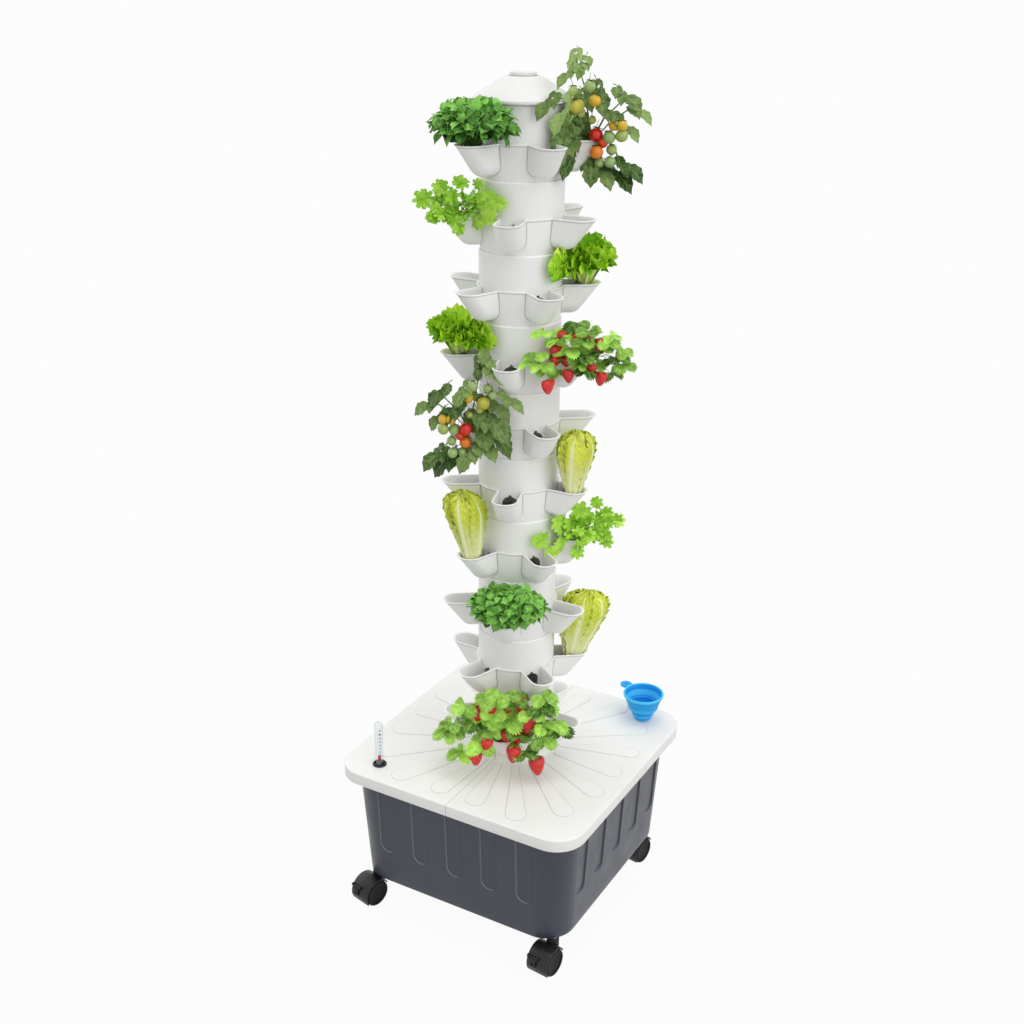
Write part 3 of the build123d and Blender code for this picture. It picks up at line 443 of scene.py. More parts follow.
@dataclass(frozen=True)
class MouldedFinish(Finish):
    """Injection-moulded plastic: mottled tone, uneven gloss and fine grain."""

    name: str
    colour: Rgb
    shade: Rgb
    roughness: Pair = (0.38, 0.5)
    grain: float = 900.0
    relief: float = 0.04
    dust: float = 0.0
    # dark_bore paints shade on the faces inside the bore, from bore_tone down by bore_share
    dark_bore: bool = False
    bore_tone: Rgb = (222, 222, 221)
    bore_share: float = 0.82
    shine: float = 0.5
    # line sets how strongly the line layer's painted shade and painted highlight show, in line_tones
    line: float = 0.0
    line_tones: tuple[Rgb, Rgb] = ((120, 120, 120), (250, 250, 250))
    dust_tone: Rgb = (205, 202, 196)
    grain_depth: float = 0.4 * MM

    def dress(self, bench: Bench, shader: Node) -> None:
        """Wires tone, gloss and grain, and where asked dust, the painted shade of the bore and the painted shade and
        highlight lines.
        """
        skin = bench.group(Effects.moulded_skin(), {"Grain Scale": self.grain})
        tone = bench.blend(skin.outputs["Mottle"], linear(*self.colour), linear(*self.shade))
        if self.dust:
            settled = bench.group(Effects.settled_dust(), {"Amount": self.dust})
            tone = bench.blend(settled.outputs["Mask"], tone, linear(*self.dust_tone))
        # painted shade inside the bore, mottled by the gloss noise
        if self.dark_bore:
            bore = bench.group(Effects.bore_side(), {})
            darkest = dimmed(self.bore_tone, self.bore_share)
            painted_bore_shade = bench.blend(skin.outputs["Gloss"], linear(*self.bore_tone), linear(*darkest))
            tone = bench.blend(bore.outputs["Mask"], tone, painted_bore_shade)
        if self.line:
            painted_marks = bench.group(Effects.painted_light_lines(), {"Amount": self.line})
            for mask, colour in zip(("Dark", "Light"), self.line_tones):
                tone = bench.blend(painted_marks.outputs[mask], tone, linear(*colour))
        bench.feed(shader, {"Base Color": tone, "Specular IOR Level": self.shine,
                            "Roughness": bench.spread(skin.outputs["Gloss"], 0.0, 1.0, *self.roughness),
                            "Normal": bench.bump(skin.outputs["Height"], self.relief, self.grain_depth)})


@dataclass(frozen=True)
class MetalFinish(Finish):
    """Turned or drawn steel with fine scratches."""

    name: str
    colour: Rgb = (176, 178, 181)
    dull_share: float = 0.8
    roughness: Pair = (0.22, 0.4)

    def dress(self, bench: Bench, shader: Node) -> None:
        """Wires scratched steel."""
        skin = bench.group(Effects.moulded_skin(), {"Mottle Scale": 60.0, "Grain Scale": 2400.0})
        dull = dimmed(self.colour, self.dull_share)
        bench.feed(shader, {"Base Color": bench.blend(skin.outputs["Mottle"], linear(*self.colour), linear(*dull)),
                            "Roughness": bench.spread(skin.outputs["Gloss"], 0.0, 1.0, *self.roughness),
                            "Metallic": 1.0})


@dataclass(frozen=True)
class ClearFinish(Finish):
    """Clear thin-walled plastic tube."""

    name: str
    colour: Rgb = (246, 249, 251)
    haze_share: float = 0.985
    roughness: Pair = (0.02, 0.07)
    refraction: float = 1.06

    def dress(self, bench: Bench, shader: Node) -> None:
        """Wires a clear shader with a faint haze."""
        skin = bench.group(Effects.moulded_skin(), {"Mottle Scale": 70.0})
        hazed = dimmed(self.colour, self.haze_share)
        bench.feed(shader, {"Base Color": bench.blend(skin.outputs["Mottle"], linear(*self.colour), linear(*hazed)),
                            "Roughness": bench.spread(skin.outputs["Gloss"], 0.0, 1.0, *self.roughness),
                            "Transmission Weight": 1.0, "IOR": self.refraction})


class Paint(Enum):
    """The finishes of the hard pieces."""

    # the tower's line tones are painted shade (166) and painted highlight (252) for the pod rings and tubes
    TOWER = MouldedFinish("tower_white", (245, 245, 243), (241, 241, 239), (0.42, 0.55), relief=0.03, line=1.0,
                          line_tones=((166, 166, 165), (252, 252, 251)))
    # the tube adds painted shade inside its bore
    TUBE = replace(TOWER, name="tube_white", dark_bore=True)
    # the lid's line paints shade along the petals' edges
    LID = MouldedFinish("lid_white", (239, 239, 236), (236, 236, 233), (0.45, 0.6), relief=0.03, dust=0.04, line=0.5)
    # the cap's line paints shade in the groove at the knob's foot
    CAP = MouldedFinish("cap_white", (231, 231, 229), (228, 228, 226), (0.45, 0.58), relief=0.03, line=1.0,
                        line_tones=((158, 158, 159), (250, 250, 250)))
    # the tank's line tones are painted shade and painted highlight on the flutes' edges
    TANK = MouldedFinish("tank_grey", (52, 57, 70), (48, 53, 66), (0.3, 0.42), relief=0.03, line=0.8,
                         line_tones=((20, 22, 28), (124, 128, 138)))
    PIPE = MouldedFinish("pipe_grey", (188, 190, 191), (176, 178, 180), (0.35, 0.5))
    PUMP = MouldedFinish("pump_black", (34, 35, 37), (25, 26, 28), (0.35, 0.55), 600.0, 0.12)
    RUBBER = MouldedFinish("foot_rubber", (46, 46, 47), (36, 36, 37), (0.6, 0.75), 500.0, 0.1)
    CASTER = MouldedFinish("caster_black", (24, 24, 26), (17, 17, 19), (0.3, 0.42), 700.0, 0.06, shine=0.4)
    WHEEL = MouldedFinish("wheel_black", (17, 17, 18), (12, 12, 13), (0.4, 0.55), 700.0, 0.05, shine=0.12)
    CUP = MouldedFinish("cup_black", (142, 142, 144), (104, 104, 106), (0.6, 0.8), 500.0, 0.2, shine=0.3)
    GUIDE = MouldedFinish("guide_grey", (120, 120, 122), (96, 96, 99), (0.4, 0.55))
    GROMMET = MouldedFinish("grommet_black", (22, 22, 23), (15, 15, 16), (0.4, 0.55))
    MARK = MouldedFinish("mark_dark", (58, 58, 60), (44, 44, 46), (0.5, 0.6))
    ROD = MouldedFinish("gauge_red", (196, 44, 54), (176, 34, 46), (0.35, 0.45))
    FLOAT = MouldedFinish("float_white", (236, 235, 230), (226, 225, 219), (0.5, 0.65))
    # the funnel's line tones are painted shade and painted highlight on its folds
    FUNNEL = MouldedFinish("funnel_blue", (34, 166, 236), (28, 158, 230), (0.45, 0.58), 700.0, 0.03, shine=0.25,
                           line=0.85, line_tones=((6, 128, 220), (84, 206, 250)))
    STEEL = MetalFinish("steel")
    CLEAR = ClearFinish("clear_tube")


# ---------------------------------------------------------------- modelling bench


class Sketch:
    """A mesh in the making and the few operations that the pieces share."""

    def __init__(self) -> None:
        self.bm = bmesh.new()

    def line_layer(self) -> bmesh.types.BMLayerItem:
        """Adds the layer that holds the painted shade and painted highlight lines."""
        return self.bm.verts.layers.float.new("line")

    def chain(self, points: Iterable[Sequence[float]], closed: bool = True) -> list[bmesh.types.BMEdge]:
        """Lays a run of edges through points.

        Args:
            points: Places in order.
            closed: Joins the last point to the first.

        Returns:
            The new edges.
        """
        verts = [self.bm.verts.new(point) for point in points]
        pairs = zip(verts, verts[1:] + verts[:1] if closed else verts[1:])
        return [self.bm.edges.new(pair) for pair in pairs]

    def stack(self, outlines: Sequence[Sequence[Vector]]) -> list[list[Vert]]:
        """Extrudes a first closed outline through a stack of further ones.

        Args:
            outlines: Runs of points of equal length, in order.

        Returns:
            The vertices of each run.
        """
        edges = self.chain(outlines[0])
        rows = [[edges[0].verts[0]] + [edge.verts[1] for edge in edges[:-1]]]
        for outline in outlines[1:]:
            made = bmesh.ops.extrude_edge_only(self.bm, edges=edges)["geom"]
            fresh = {item for item in made if isinstance(item, Vert)}
            edges = [item for item in made if isinstance(item, bmesh.types.BMEdge) and fresh.issuperset(item.verts)]
            row = [next(e.other_vert(v) for e in v.link_edges if e.other_vert(v) in fresh) for v in rows[-1]]
            for vert, point in zip(row, outline):
                vert.co = point
            rows.append(row)
        return rows

    def close(self, row: Sequence[Vert]) -> None:
        """Fills a run of vertices with triangles."""
        own = set(row)
        edges = {edge for vert in row for edge in vert.link_edges
                 if edge.other_vert(vert) in own and len(edge.link_faces) < 2}
        bmesh.ops.triangle_fill(self.bm, edges=list(edges), use_beauty=True)

    def cover(self, height: float) -> None:
        """Fills the open outlines at a height but leaves the holes in them."""
        edges = [edge for edge in self.bm.edges if len(edge.link_faces) < 2
                 and all(abs(vert.co.z - height) < NEAR for vert in edge.verts)]
        bmesh.ops.triangle_fill(self.bm, edges=edges, use_beauty=True)

    def turn(self, profile: Sequence[Pair], steps: int, closed: bool = False) -> list[Vert]:
        """Spins a profile of radius and height right round the Z axis.

        Args:
            profile: Radius and height pairs.
            steps: Number of facets round the turn.
            closed: Joins the profile's last point to its first.

        Returns:
            The vertices of the turned form.
        """
        edges = self.chain([polar(radius, 0.0, height) for radius, height in profile], closed)
        verts = list({vert for edge in edges for vert in edge.verts})
        before = set(self.bm.verts) - set(verts)
        bmesh.ops.spin(self.bm, geom=verts + edges, cent=(0, 0, 0), axis=(0, 0, 1), dvec=(0, 0, 0), angle=math.tau,
                       steps=steps, use_merge=True, use_duplicate=False)
        return [vert for vert in self.bm.verts if vert not in before]

    def add(self, mesh: Mesh, place: Matrix) -> None:
        """Adds a copy of a mesh, placed."""
        count = len(self.bm.verts)
        self.bm.from_mesh(mesh)
        self.bm.verts.ensure_lookup_table()
        bmesh.ops.transform(self.bm, matrix=place, verts=self.bm.verts[count:])

    def place(self, matrix: Matrix) -> "Sketch":
        """Moves the whole sketch and returns it."""
        bmesh.ops.transform(self.bm, matrix=matrix, verts=self.bm.verts)
        return self

    def soften(self, width: float, angle: float = 30.0, segments: int = 2,
               where: Callable[[bmesh.types.BMEdge], bool] = lambda edge: True) -> "Sketch":
        """Bevels the sharp edges.

        Args:
            width: Bevel width.
            angle: Edges that bend by more, in degrees, count as sharp.
            segments: Facets across the bevel.
            where: Picks among the sharp edges.

        Returns:
            The sketch.
        """
        limit = math.radians(angle)
        sharp = [edge for edge in self.bm.edges
                 if len(edge.link_faces) == 2 and edge.calc_face_angle(0) > limit and where(edge)]
        bmesh.ops.bevel(self.bm, geom=sharp, offset=width, offset_type="OFFSET", affect="EDGES",
                        segments=segments, profile=0.5, material=-1, clamp_overlap=True)
        return self

    def tidy(self, merge: float = NEAR) -> "Sketch":
        """Merges doubles and turns the faces outward."""
        bmesh.ops.remove_doubles(self.bm, verts=self.bm.verts, dist=merge)
        bmesh.ops.dissolve_degenerate(self.bm, edges=self.bm.edges, dist=1e-7)
        bmesh.ops.recalc_face_normals(self.bm, faces=self.bm.faces)
        return self

    def shade(self, angle: float = 35.0) -> "Sketch":
        """Smooths the faces but keeps edges that bend by more than an angle crisp."""
        limit = math.radians(angle)
        for face in self.bm.faces:
            face.smooth = True
        for edge in self.bm.edges:
            edge.smooth = len(edge.link_faces) == 2 and edge.calc_face_angle(0) < limit
        return self

    def mesh(self, name: str) -> Mesh:
        """Gives the sketch as a mesh and frees it."""
        made = bpy.data.meshes.new(name)
        self.bm.to_mesh(made)
        self.bm.free()
        return made


def show(node: str, mesh: Mesh, paints: Sequence[Enum], body: str) -> None:
    """Puts a finished mesh in the scene and ties it to the frame.

    Args:
        node: CAD node that it stands for.
        mesh: Finished mesh, already in place.
        paints: Finishes in the order of the mesh's material indices.
        body: CAD body that it moves with.
    """
    for paint in paints:
        mesh.materials.append(paint.value.material())
    piece = bpy.data.objects.new(f"{node}.skin", mesh)
    bpy.context.scene.collection.objects.link(piece)
    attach(piece, body)
    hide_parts(node)
    LOG.info("%s: %d faces", piece.name, len(mesh.polygons))


def stand_copies(mould: Mesh, prefix: str, height: Callable[[int], float], paint: Paint) -> None:
    """Stands a copy of a mould on every tier of the tower.

    Args:
        mould: Mesh on the origin.
        prefix: Start of the pieces' names.
        height: Gives the height of a tier's copy.
        paint: Finish.
    """
    for tier in range(1, PLAN.tiers + 1):
        sketch = Sketch()
        sketch.add(mould, PLAN.stand(tier, height(tier)))
        name = f"{prefix}_{tier:02d}"
        show(name, sketch.mesh(name), [paint], "tower")


def carve(target: Mesh, tool: Mesh) -> Mesh:
    """Cuts one closed mesh out of another.

    Args:
        target: Mesh that is cut.
        tool: Mesh that is taken away.

    Returns:
        The cut mesh.
    """
    holders = [bpy.data.objects.new("carve", mesh) for mesh in (target, tool)]
    for holder in holders:
        bpy.context.scene.collection.objects.link(holder)
    cut = holders[0].modifiers.new("cut", "BOOLEAN")
    cut.operation, cut.object, cut.solver = "DIFFERENCE", holders[1], "EXACT"
    graph = bpy.context.evaluated_depsgraph_get()
    made = bpy.data.meshes.new_from_object(holders[0].evaluated_get(graph))
    for holder in holders:
        bpy.data.objects.remove(holder)
    return made


# ---------------------------------------------------------------- tower


@dataclass
class PodRings:
    """The ten rings of five scoop-shaped pods, all from one mould."""

    panel_shares: tuple[float, ...] = (0.0, 0.25, 0.5, 0.72, 0.92)
    side_shares: tuple[float, ...] = (0.0, 0.06, 0.5)
    nose_steps: int = 16
    bottom_round: float = 20 * MM
    keel_depth: float = 17 * MM
    least_half: float = 0.6 * MM
    least_nose: float = 0.1 * MM
    shoulder: float = 52 * MM
    floor: float = 48.2 * MM
    outer_depths: tuple[float, ...] = (49.8, 49.2, 48, 46, 43.5, 40.5, 37, 33, 24, 14, 5)
    inner_depths: tuple[float, ...] = (5, 14, 24, 33, 37, 40.5, 43.5, 46, 47.2, 47.9)
    lip: tuple[Pair, ...] = ((3.1, 0.0), (2.6, 0.0), (2.4, 0.55), (2.0, 0.95), (1.5, 1.0), (0.6, 1.0), (0.15, 0.75),
                             (0.0, 0.3), (0.0, -1.0), (0.2, -1.6), (0.8, -1.9))
    # these paint a shadow under the rim's bead where positive and a highlight on its top where negative
    lip_painted_tones: tuple[float, ...] = (0.55, 0.7, 0.0, -0.9, -1.0, -1.0, -1.0, -1.0, -1.0, -0.8)
    # this paints shade in the creases where the pods meet the panels
    crease_painted_shade: float = 0.9
    crease_from: int = 5

    def wall(self, depth: float) -> float:
        """Gives the ring wall's outer radius at a depth below the rim."""
        share = min(depth / PLAN.ring_height, 1.0)
        return PLAN.rim_radius + (PLAN.spigot_radius - PLAN.rim_radius) * share

    def scoop(self, depth: float) -> Pair:
        """Gives a pod's reach from the axis and half width.

        Args:
            depth: Depth below the rim.

        Returns:
            Reach of the nose and half the pod's width.
        """
        lean = math.atan(PLAN.pod_slope)
        bend = PLAN.pod_depth - self.bottom_round * (1 - math.sin(lean))
        if depth <= bend:
            reach = PLAN.pod_reach - PLAN.pod_slope * depth
        else:
            rise = min(math.sin(lean) + (depth - bend) / self.bottom_round, 1.0)
            bow = self.bottom_round * (math.cos(lean) - math.sqrt(1 - rise * rise))
            reach = PLAN.pod_reach - PLAN.pod_slope * bend - bow
        keel = PLAN.pod_depth - self.keel_depth
        if depth <= keel:
            return reach, PLAN.pod_half
        share = min((depth - keel) / self.keel_depth, 1.0)
        return reach, PLAN.pod_half * math.sqrt(1 - share * share)

    def outline(self, depth: float, grow: float, closed_in: bool = False) -> list[Vector]:
        """Draws the ring's outline at a depth.

        Args:
            depth: Depth below the rim.
            grow: Offset from the outer face, negative for the inner face.
            closed_in: Draws the pods flat on the ring wall.

        Returns:
            Points right round the ring.
        """
        wall = self.wall(depth) + grow
        steep = 1.0 if grow > 0 else math.sqrt(1 + PLAN.pod_slope ** 2)
        reach, half = self.scoop(depth - min(grow, 0.0))
        reach, half = reach + grow * steep, max(half + grow, self.least_half)
        corner = math.asin(half / wall)
        root = wall * math.cos(corner)
        nose = max(reach - half, root + self.least_nose)
        sector = math.pi / PLAN.pods
        height = PLAN.ring_height - depth
        points = []
        for index in range(PLAN.pods):
            spin = Matrix.Rotation(index * 2 * sector, 3, "Z")
            run = [polar(wall, -sector + (sector - corner) * share) for share in self.panel_shares]
            pod = [Vector((root + (nose - root) * share, -half, 0)) for share in self.side_shares]
            for i in range(self.nose_steps + 1):
                swing = -math.pi / 2 + math.pi * i / self.nose_steps
                pod.append(Vector((nose + (reach - nose) * math.cos(swing), half * math.sin(swing), 0)))
            pod += [Vector((root + (nose - root) * share, half, 0)) for share in reversed(self.side_shares)]
            if closed_in:
                pod = [polar(wall, corner * (2 * i / (len(pod) - 1) - 1)) for i in range(len(pod))]
            run += pod
            run += [polar(wall, sector + (corner - sector) * share) for share in reversed(self.panel_shares[1:])]
            points += [spin @ point + lift(height) for point in run]
        return points

    def mould(self) -> Mesh:
        """Builds one ring standing on the origin.

        Returns:
            The ring's mesh.
        """
        sketch = Sketch()
        foot, wall = PLAN.ring_height + PLAN.spigot_drop, -PLAN.ring_wall
        outer = [(depth, 0.0, True) for depth in (foot, PLAN.ring_height, self.shoulder, PLAN.pod_depth)]
        outer += [(depth * MM, 0.0, False) for depth in self.outer_depths]
        rim = [(depth * MM, offset * MM, False) for depth, offset in self.lip]
        inner = [(depth * MM, wall, False) for depth in self.inner_depths]
        inner += [(depth, wall, True) for depth in (self.floor, self.shoulder, PLAN.ring_height, foot)]
        line = sketch.line_layer()
        rows = sketch.stack([self.outline(*level) for level in outer + rim + inner + outer[:1]])
        # paints a shadow under the rim's bead and a highlight on its top
        for row, tone in zip(rows[len(outer):], self.lip_painted_tones):
            for vert in row:
                vert[line] = tone
        sector = len(rows[0]) // PLAN.pods
        creases = (len(self.panel_shares), sector - len(self.panel_shares))
        # paints shade in the creases where the pods meet the panels
        for row in rows[self.crease_from:len(outer)]:
            for index, vert in enumerate(row):
                vert[line] = self.crease_painted_shade if index % sector in creases else 0.0
        return sketch.tidy().shade(32).mesh("ring_mould")

    def build(self) -> None:
        """Stands a copy of the ring on each tier."""
        stand_copies(self.mould(), "pod_ring", PLAN.ledge, Paint.TOWER)


@dataclass
class Tubes:
    """The ten plain tubes between the rings, with a skirt that hangs inside the ring below."""

    skirt_drop: float = 48 * MM
    skirt_taper: float = 4 * MM
    window_half: float = 14 * MM
    window_top: float = 10 * MM
    notch_half: float = 2.5 * MM
    notch_rise: float = 3 * MM
    notch_drop: float = 0.3 * MM
    cutter_reach: Pair = (45 * MM, 90 * MM)
    cutter_foot: float = 5 * MM

    def window(self) -> Mesh:
        """Builds the arch-headed cutters of the five windows in the skirt.

        Returns:
            The cutters' mesh.
        """
        sketch = Sketch()
        half, notch, head = self.window_half, self.notch_half, -self.window_top
        foot, low, high = -self.skirt_drop - self.cutter_foot, head - self.notch_drop, head + self.notch_rise
        bends = [math.pi * i / 20 for i in range(21)]
        arch = [(half * math.cos(a), head - half + half * math.sin(a)) for a in bends]
        crown = [p for p in arch if p[0] > notch * 1.2]
        crown += [(notch, low), (notch, high), (-notch, high), (-notch, low)]
        crown += [p for p in arch if p[0] < -notch * 1.2]
        crown += [(-half, foot), (half, foot)]
        for index in range(PLAN.pods):
            spin = Matrix.Rotation(index * math.tau / PLAN.pods, 3, "Z")
            for row in sketch.stack([[spin @ Vector((reach, x, z)) for x, z in crown] for reach in self.cutter_reach]):
                sketch.close(row)
        return sketch.tidy().mesh("window_cutters")

    def mould(self) -> Mesh:
        """Builds one tube with the rim of its ring at the origin.

        Returns:
            The tube's mesh.
        """
        outer, bore, rise = PLAN.tube_radius / MM, PLAN.tube_bore / MM, PLAN.tube_rise / MM
        drop, low, wall = self.skirt_drop / MM, outer - self.skirt_taper / MM, outer - bore
        profile = metres(
            (low - wall, -drop), (low - 0.3, -drop), (low, 0.4 - drop), (outer, 0), (outer, 0.4 * rise),
            (outer, rise - 3), (outer, rise - 2.4), (outer - 0.15, rise - 1.4), (outer - 0.6, rise - 0.6),
            (outer - 1.2, rise - 0.1), (bore + 0.3, rise), (bore, rise - 0.3), (bore, rise - 12),
            (bore - 2.5, rise - 12), (bore - 2.5, rise - 14.5), (bore, rise - 17), (bore, 0))
        blank = Sketch()
        blank.turn(profile, 128, closed=True)
        done = Sketch()
        done.bm.from_mesh(carve(blank.tidy().mesh("tube_blank"), self.window()))
        line = done.line_layer()
        # paints a highlight on the rounded top edge of the tube
        for vert in done.bm.verts:
            painted_highlight_edge = vert.co.z > (rise - 2.5) * MM and vert.co.xy.length > (bore + 0.2) * MM
            vert[line] = -1.0 if painted_highlight_edge else 0.0
        return done.tidy().shade(28).mesh("tube_mould")

    def build(self) -> None:
        """Puts a copy of the tube on each ring."""
        stand_copies(self.mould(), "tube", PLAN.rim, Paint.TUBE)


@dataclass
class Cap:
    """The bell-shaped cap that lifts off the top tube."""

    radius: float = 77.5 * MM
    brim: float = 2.7 * MM
    skirt: float = 5 * MM
    bell: tuple[Pair, ...] = ((66.5, 15.2), (52.5, 23.2), (40.2, 31.6), (29.4, 37.2))
    knob_radius: float = 20.6 * MM
    knob_rise: float = 7 * MM
    wall: float = 2.2 * MM
    lip_drop: float = 5.5 * MM

    def build(self) -> None:
        """Turns the cap's section and seats it on the top tube."""
        r, k, low, wall = self.radius / MM, self.knob_radius / MM, self.brim / MM, self.wall / MM
        top, crown = low + self.skirt / MM, self.bell[-1][1]
        head = crown + self.knob_rise / MM
        section = [(r - wall, low), (r - 0.5, low), (r - 0.1, low + 0.2), (r, low + 0.7), (r, top - 1.6),
                   (r - 0.3, top - 0.6)]
        section += flowing([(r - 1.2, top), *self.bell, (k + 2, crown + 1.1)], 4)
        section += [(k + 0.7, crown + 1.2), (k + 0.1, crown + 0.5), (k, crown + 1.2), (k, crown + 2.2), (k, head - 2),
                    (k - 0.6, head - 0.7), (k - 1.8, head), (k * 0.5, head + 0.15), (0, head + 0.2)]
        tube, inner, lip = PLAN.tube_radius / MM, PLAN.tube_bore / MM - 0.3, -self.lip_drop / MM
        section += [(0, crown - wall), (30, crown - 2 * wall), (52, 20), (inner - wall, 14), (inner - wall, lip),
                    (inner, lip), (inner, 0.3), (tube, 0.3), (tube, low), (r - wall, low + 1.6)]
        sketch = Sketch()
        line = sketch.line_layer()
        # paints shade in the groove at the knob's foot
        for vert in sketch.turn(metres(*section), 128, closed=True):
            beside, above = abs(vert.co.xy.length / MM - k - 1.0), vert.co.z / MM - crown
            vert[line] = float(beside < 1.2 and 0 < above < 1.5)
        sketch.place(Matrix.Translation((0, 0, PLAN.seat + PLAN.tiers * PLAN.pitch)))
        show("top_cap", sketch.tidy().shade(30).mesh("top_cap"), [Paint.CAP], "cap")


# ---------------------------------------------------------------- lid and tank


def rounded_square(half: float, corner: float, steps: int = 12) -> list[Vector]:
    """Draws a square with round corners.

    Args:
        half: Half the edge length.
        corner: Corner radius.
        steps: Facets of a corner.

    Returns:
        Points right round, from the -Y edge's end toward +X.
    """
    points = []
    for quarter in range(4):
        spin = Matrix.Rotation(quarter * math.pi / 2, 3, "Z")
        hub = Vector((half - corner, corner - half, 0))
        swings = [-math.pi / 2 + math.pi / 2 * i / steps for i in range(steps + 1)]
        points += [spin @ (hub + polar(corner, swing)) for swing in swings]
    return points


@dataclass
class Lid:
    """The two lid halves with the neck that carries the tower and the fan of raised petals."""

    half: float = 240 * MM
    corner: float = 55 * MM
    top: float = 298 * MM
    skirt: float = 22 * MM
    wall: float = 2.5 * MM
    edge: float = 2.4 * MM
    seam: float = 0.8 * MM
    neck_radius: float = 71 * MM
    cove: float = 9 * MM
    petals: int = 18
    petal_root: float = 88 * MM
    petal_root_half: float = 6 * MM
    petal_end_half: float = 18 * MM
    petal_longest: float = 253 * MM
    petal_margin: float = 23 * MM
    petal_rise: float = 0.9 * MM
    port: Pair = (169.5 * MM, 193 * MM)
    port_radius: float = 10 * MM
    socket_depth: float = 13 * MM
    socket_ledge: float = 3 * MM
    seam_round: float = 0.5 * MM

    def petal(self, azimuth: float, grow: float, height: float) -> list[Vector]:
        """Draws one petal's outline.

        Args:
            azimuth: Direction of the petal.
            grow: Offset from the petal's foot.
            height: Height above the lid's top.

        Returns:
            Points round the petal.
        """
        edge = self.half - self.petal_margin
        reach = min(edge / max(abs(math.cos(azimuth)), abs(math.sin(azimuth))), self.petal_longest)
        far, near = reach - self.petal_end_half, self.petal_root
        lean = math.asin((self.petal_end_half - self.petal_root_half) / (far - near))
        spin = Matrix.Rotation(azimuth, 3, "Z")
        points = []
        for hub, radius, start, sweep, steps in (
                (far, self.petal_end_half, -math.pi / 2 - lean, math.pi + 2 * lean, 24),
                (near, self.petal_root_half, math.pi / 2 + lean, math.pi - 2 * lean, 10)):
            for i in range(steps + 1):
                point = Vector((hub, 0, 0)) + polar(radius + grow, start + sweep * i / steps)
                points.append(spin @ point + lift(self.top + height))
        return points

    def whole(self) -> Sketch:
        """Builds both halves as one closed piece.

        Returns:
            The lid before the seam parts it.
        """
        sketch = Sketch()
        low, under = self.top - self.skirt, self.top - self.wall
        levels = [(-self.wall, under), (-self.wall, low + 0.4 * MM), (-self.wall + 0.4 * MM, low), (-0.5 * MM, low),
                  (-0.1 * MM, low + 0.2 * MM), (0, low + 0.7 * MM)]
        bends = [math.pi / 12 * i for i in range(7)]
        levels += [(-self.edge * (1 - math.cos(a)), self.top - self.edge * (1 - math.sin(a))) for a in bends]
        sketch.stack([[p + lift(z) for p in rounded_square(self.half + grow, self.corner + grow)]
                      for grow, z in levels])
        r, bend, seat = self.neck_radius, self.cove, PLAN.seat
        bends = [math.pi / 16 * i for i in range(9)]
        neck = [(r + bend * (1 - math.sin(a)), self.top + bend * (1 - math.cos(a))) for a in bends]
        socket, ledge = PLAN.spigot_radius + 0.3 * MM, seat - self.socket_depth
        neck += [(r, seat - 0.8 * MM), (r - 0.8 * MM, seat), (socket, seat), (socket, ledge),
                 (socket - self.socket_ledge, ledge), (socket - self.socket_ledge, under)]
        sketch.turn(neck, 128)
        port = self.port_radius
        for side in (-1, 1):
            place = Matrix.Translation((side * self.port[0], side * self.port[1], 0))
            rim = [(port + 0.6 * MM, self.top), (port, self.top - 0.5 * MM), (port, under)]
            bmesh.ops.transform(sketch.bm, matrix=place, verts=sketch.turn(rim, 32))
        line = sketch.line_layer()
        rise = self.petal_rise
        # each step's third number paints shade along the petal's edge, darkest at its foot
        steps = ((0.7 * MM, 0.0, 0.0), (0.1 * MM, -0.08 * MM, 1.0), (-0.3 * MM, 0.1 * MM, 0.8),
                 (-0.8 * MM, 0.72 * rise, 0.25), (-1.4 * MM, 0.93 * rise, 0.0), (-2.2 * MM, rise, 0.0))
        for index in range(self.petals):
            azimuth = index * math.tau / self.petals
            rows = sketch.stack([self.petal(azimuth, grow, height) for grow, height, _ in steps])
            for row, (_, _, tone) in zip(rows, steps):
                for vert in row:
                    vert[line] = tone
        for level in (under, self.top, self.top + rise):
            sketch.cover(level)
        return sketch.tidy()

    def build(self) -> None:
        """Parts the lid at the seam and puts both halves in place."""
        whole = self.whole().mesh("lid_whole")
        for name, side in (("lid_left", -1), ("lid_right", 1)):
            sketch, seam = Sketch(), side * self.seam / 2
            sketch.bm.from_mesh(whole)
            every = sketch.bm.verts[:] + sketch.bm.edges[:] + sketch.bm.faces[:]
            cut = bmesh.ops.bisect_plane(sketch.bm, geom=every, plane_co=(seam, 0, 0), plane_no=(-side, 0, 0),
                                         clear_outer=True)["geom_cut"]
            edges = [item for item in cut if isinstance(item, bmesh.types.BMEdge)]
            bmesh.ops.triangle_fill(sketch.bm, edges=edges, use_beauty=True)
            sketch.tidy().soften(self.seam_round, 60, 1,
                                 lambda edge, x=seam: all(abs(vert.co.x - x) < NEAR for vert in edge.verts))
            show(name, sketch.shade(35).mesh(name), [Paint.LID], "tower")


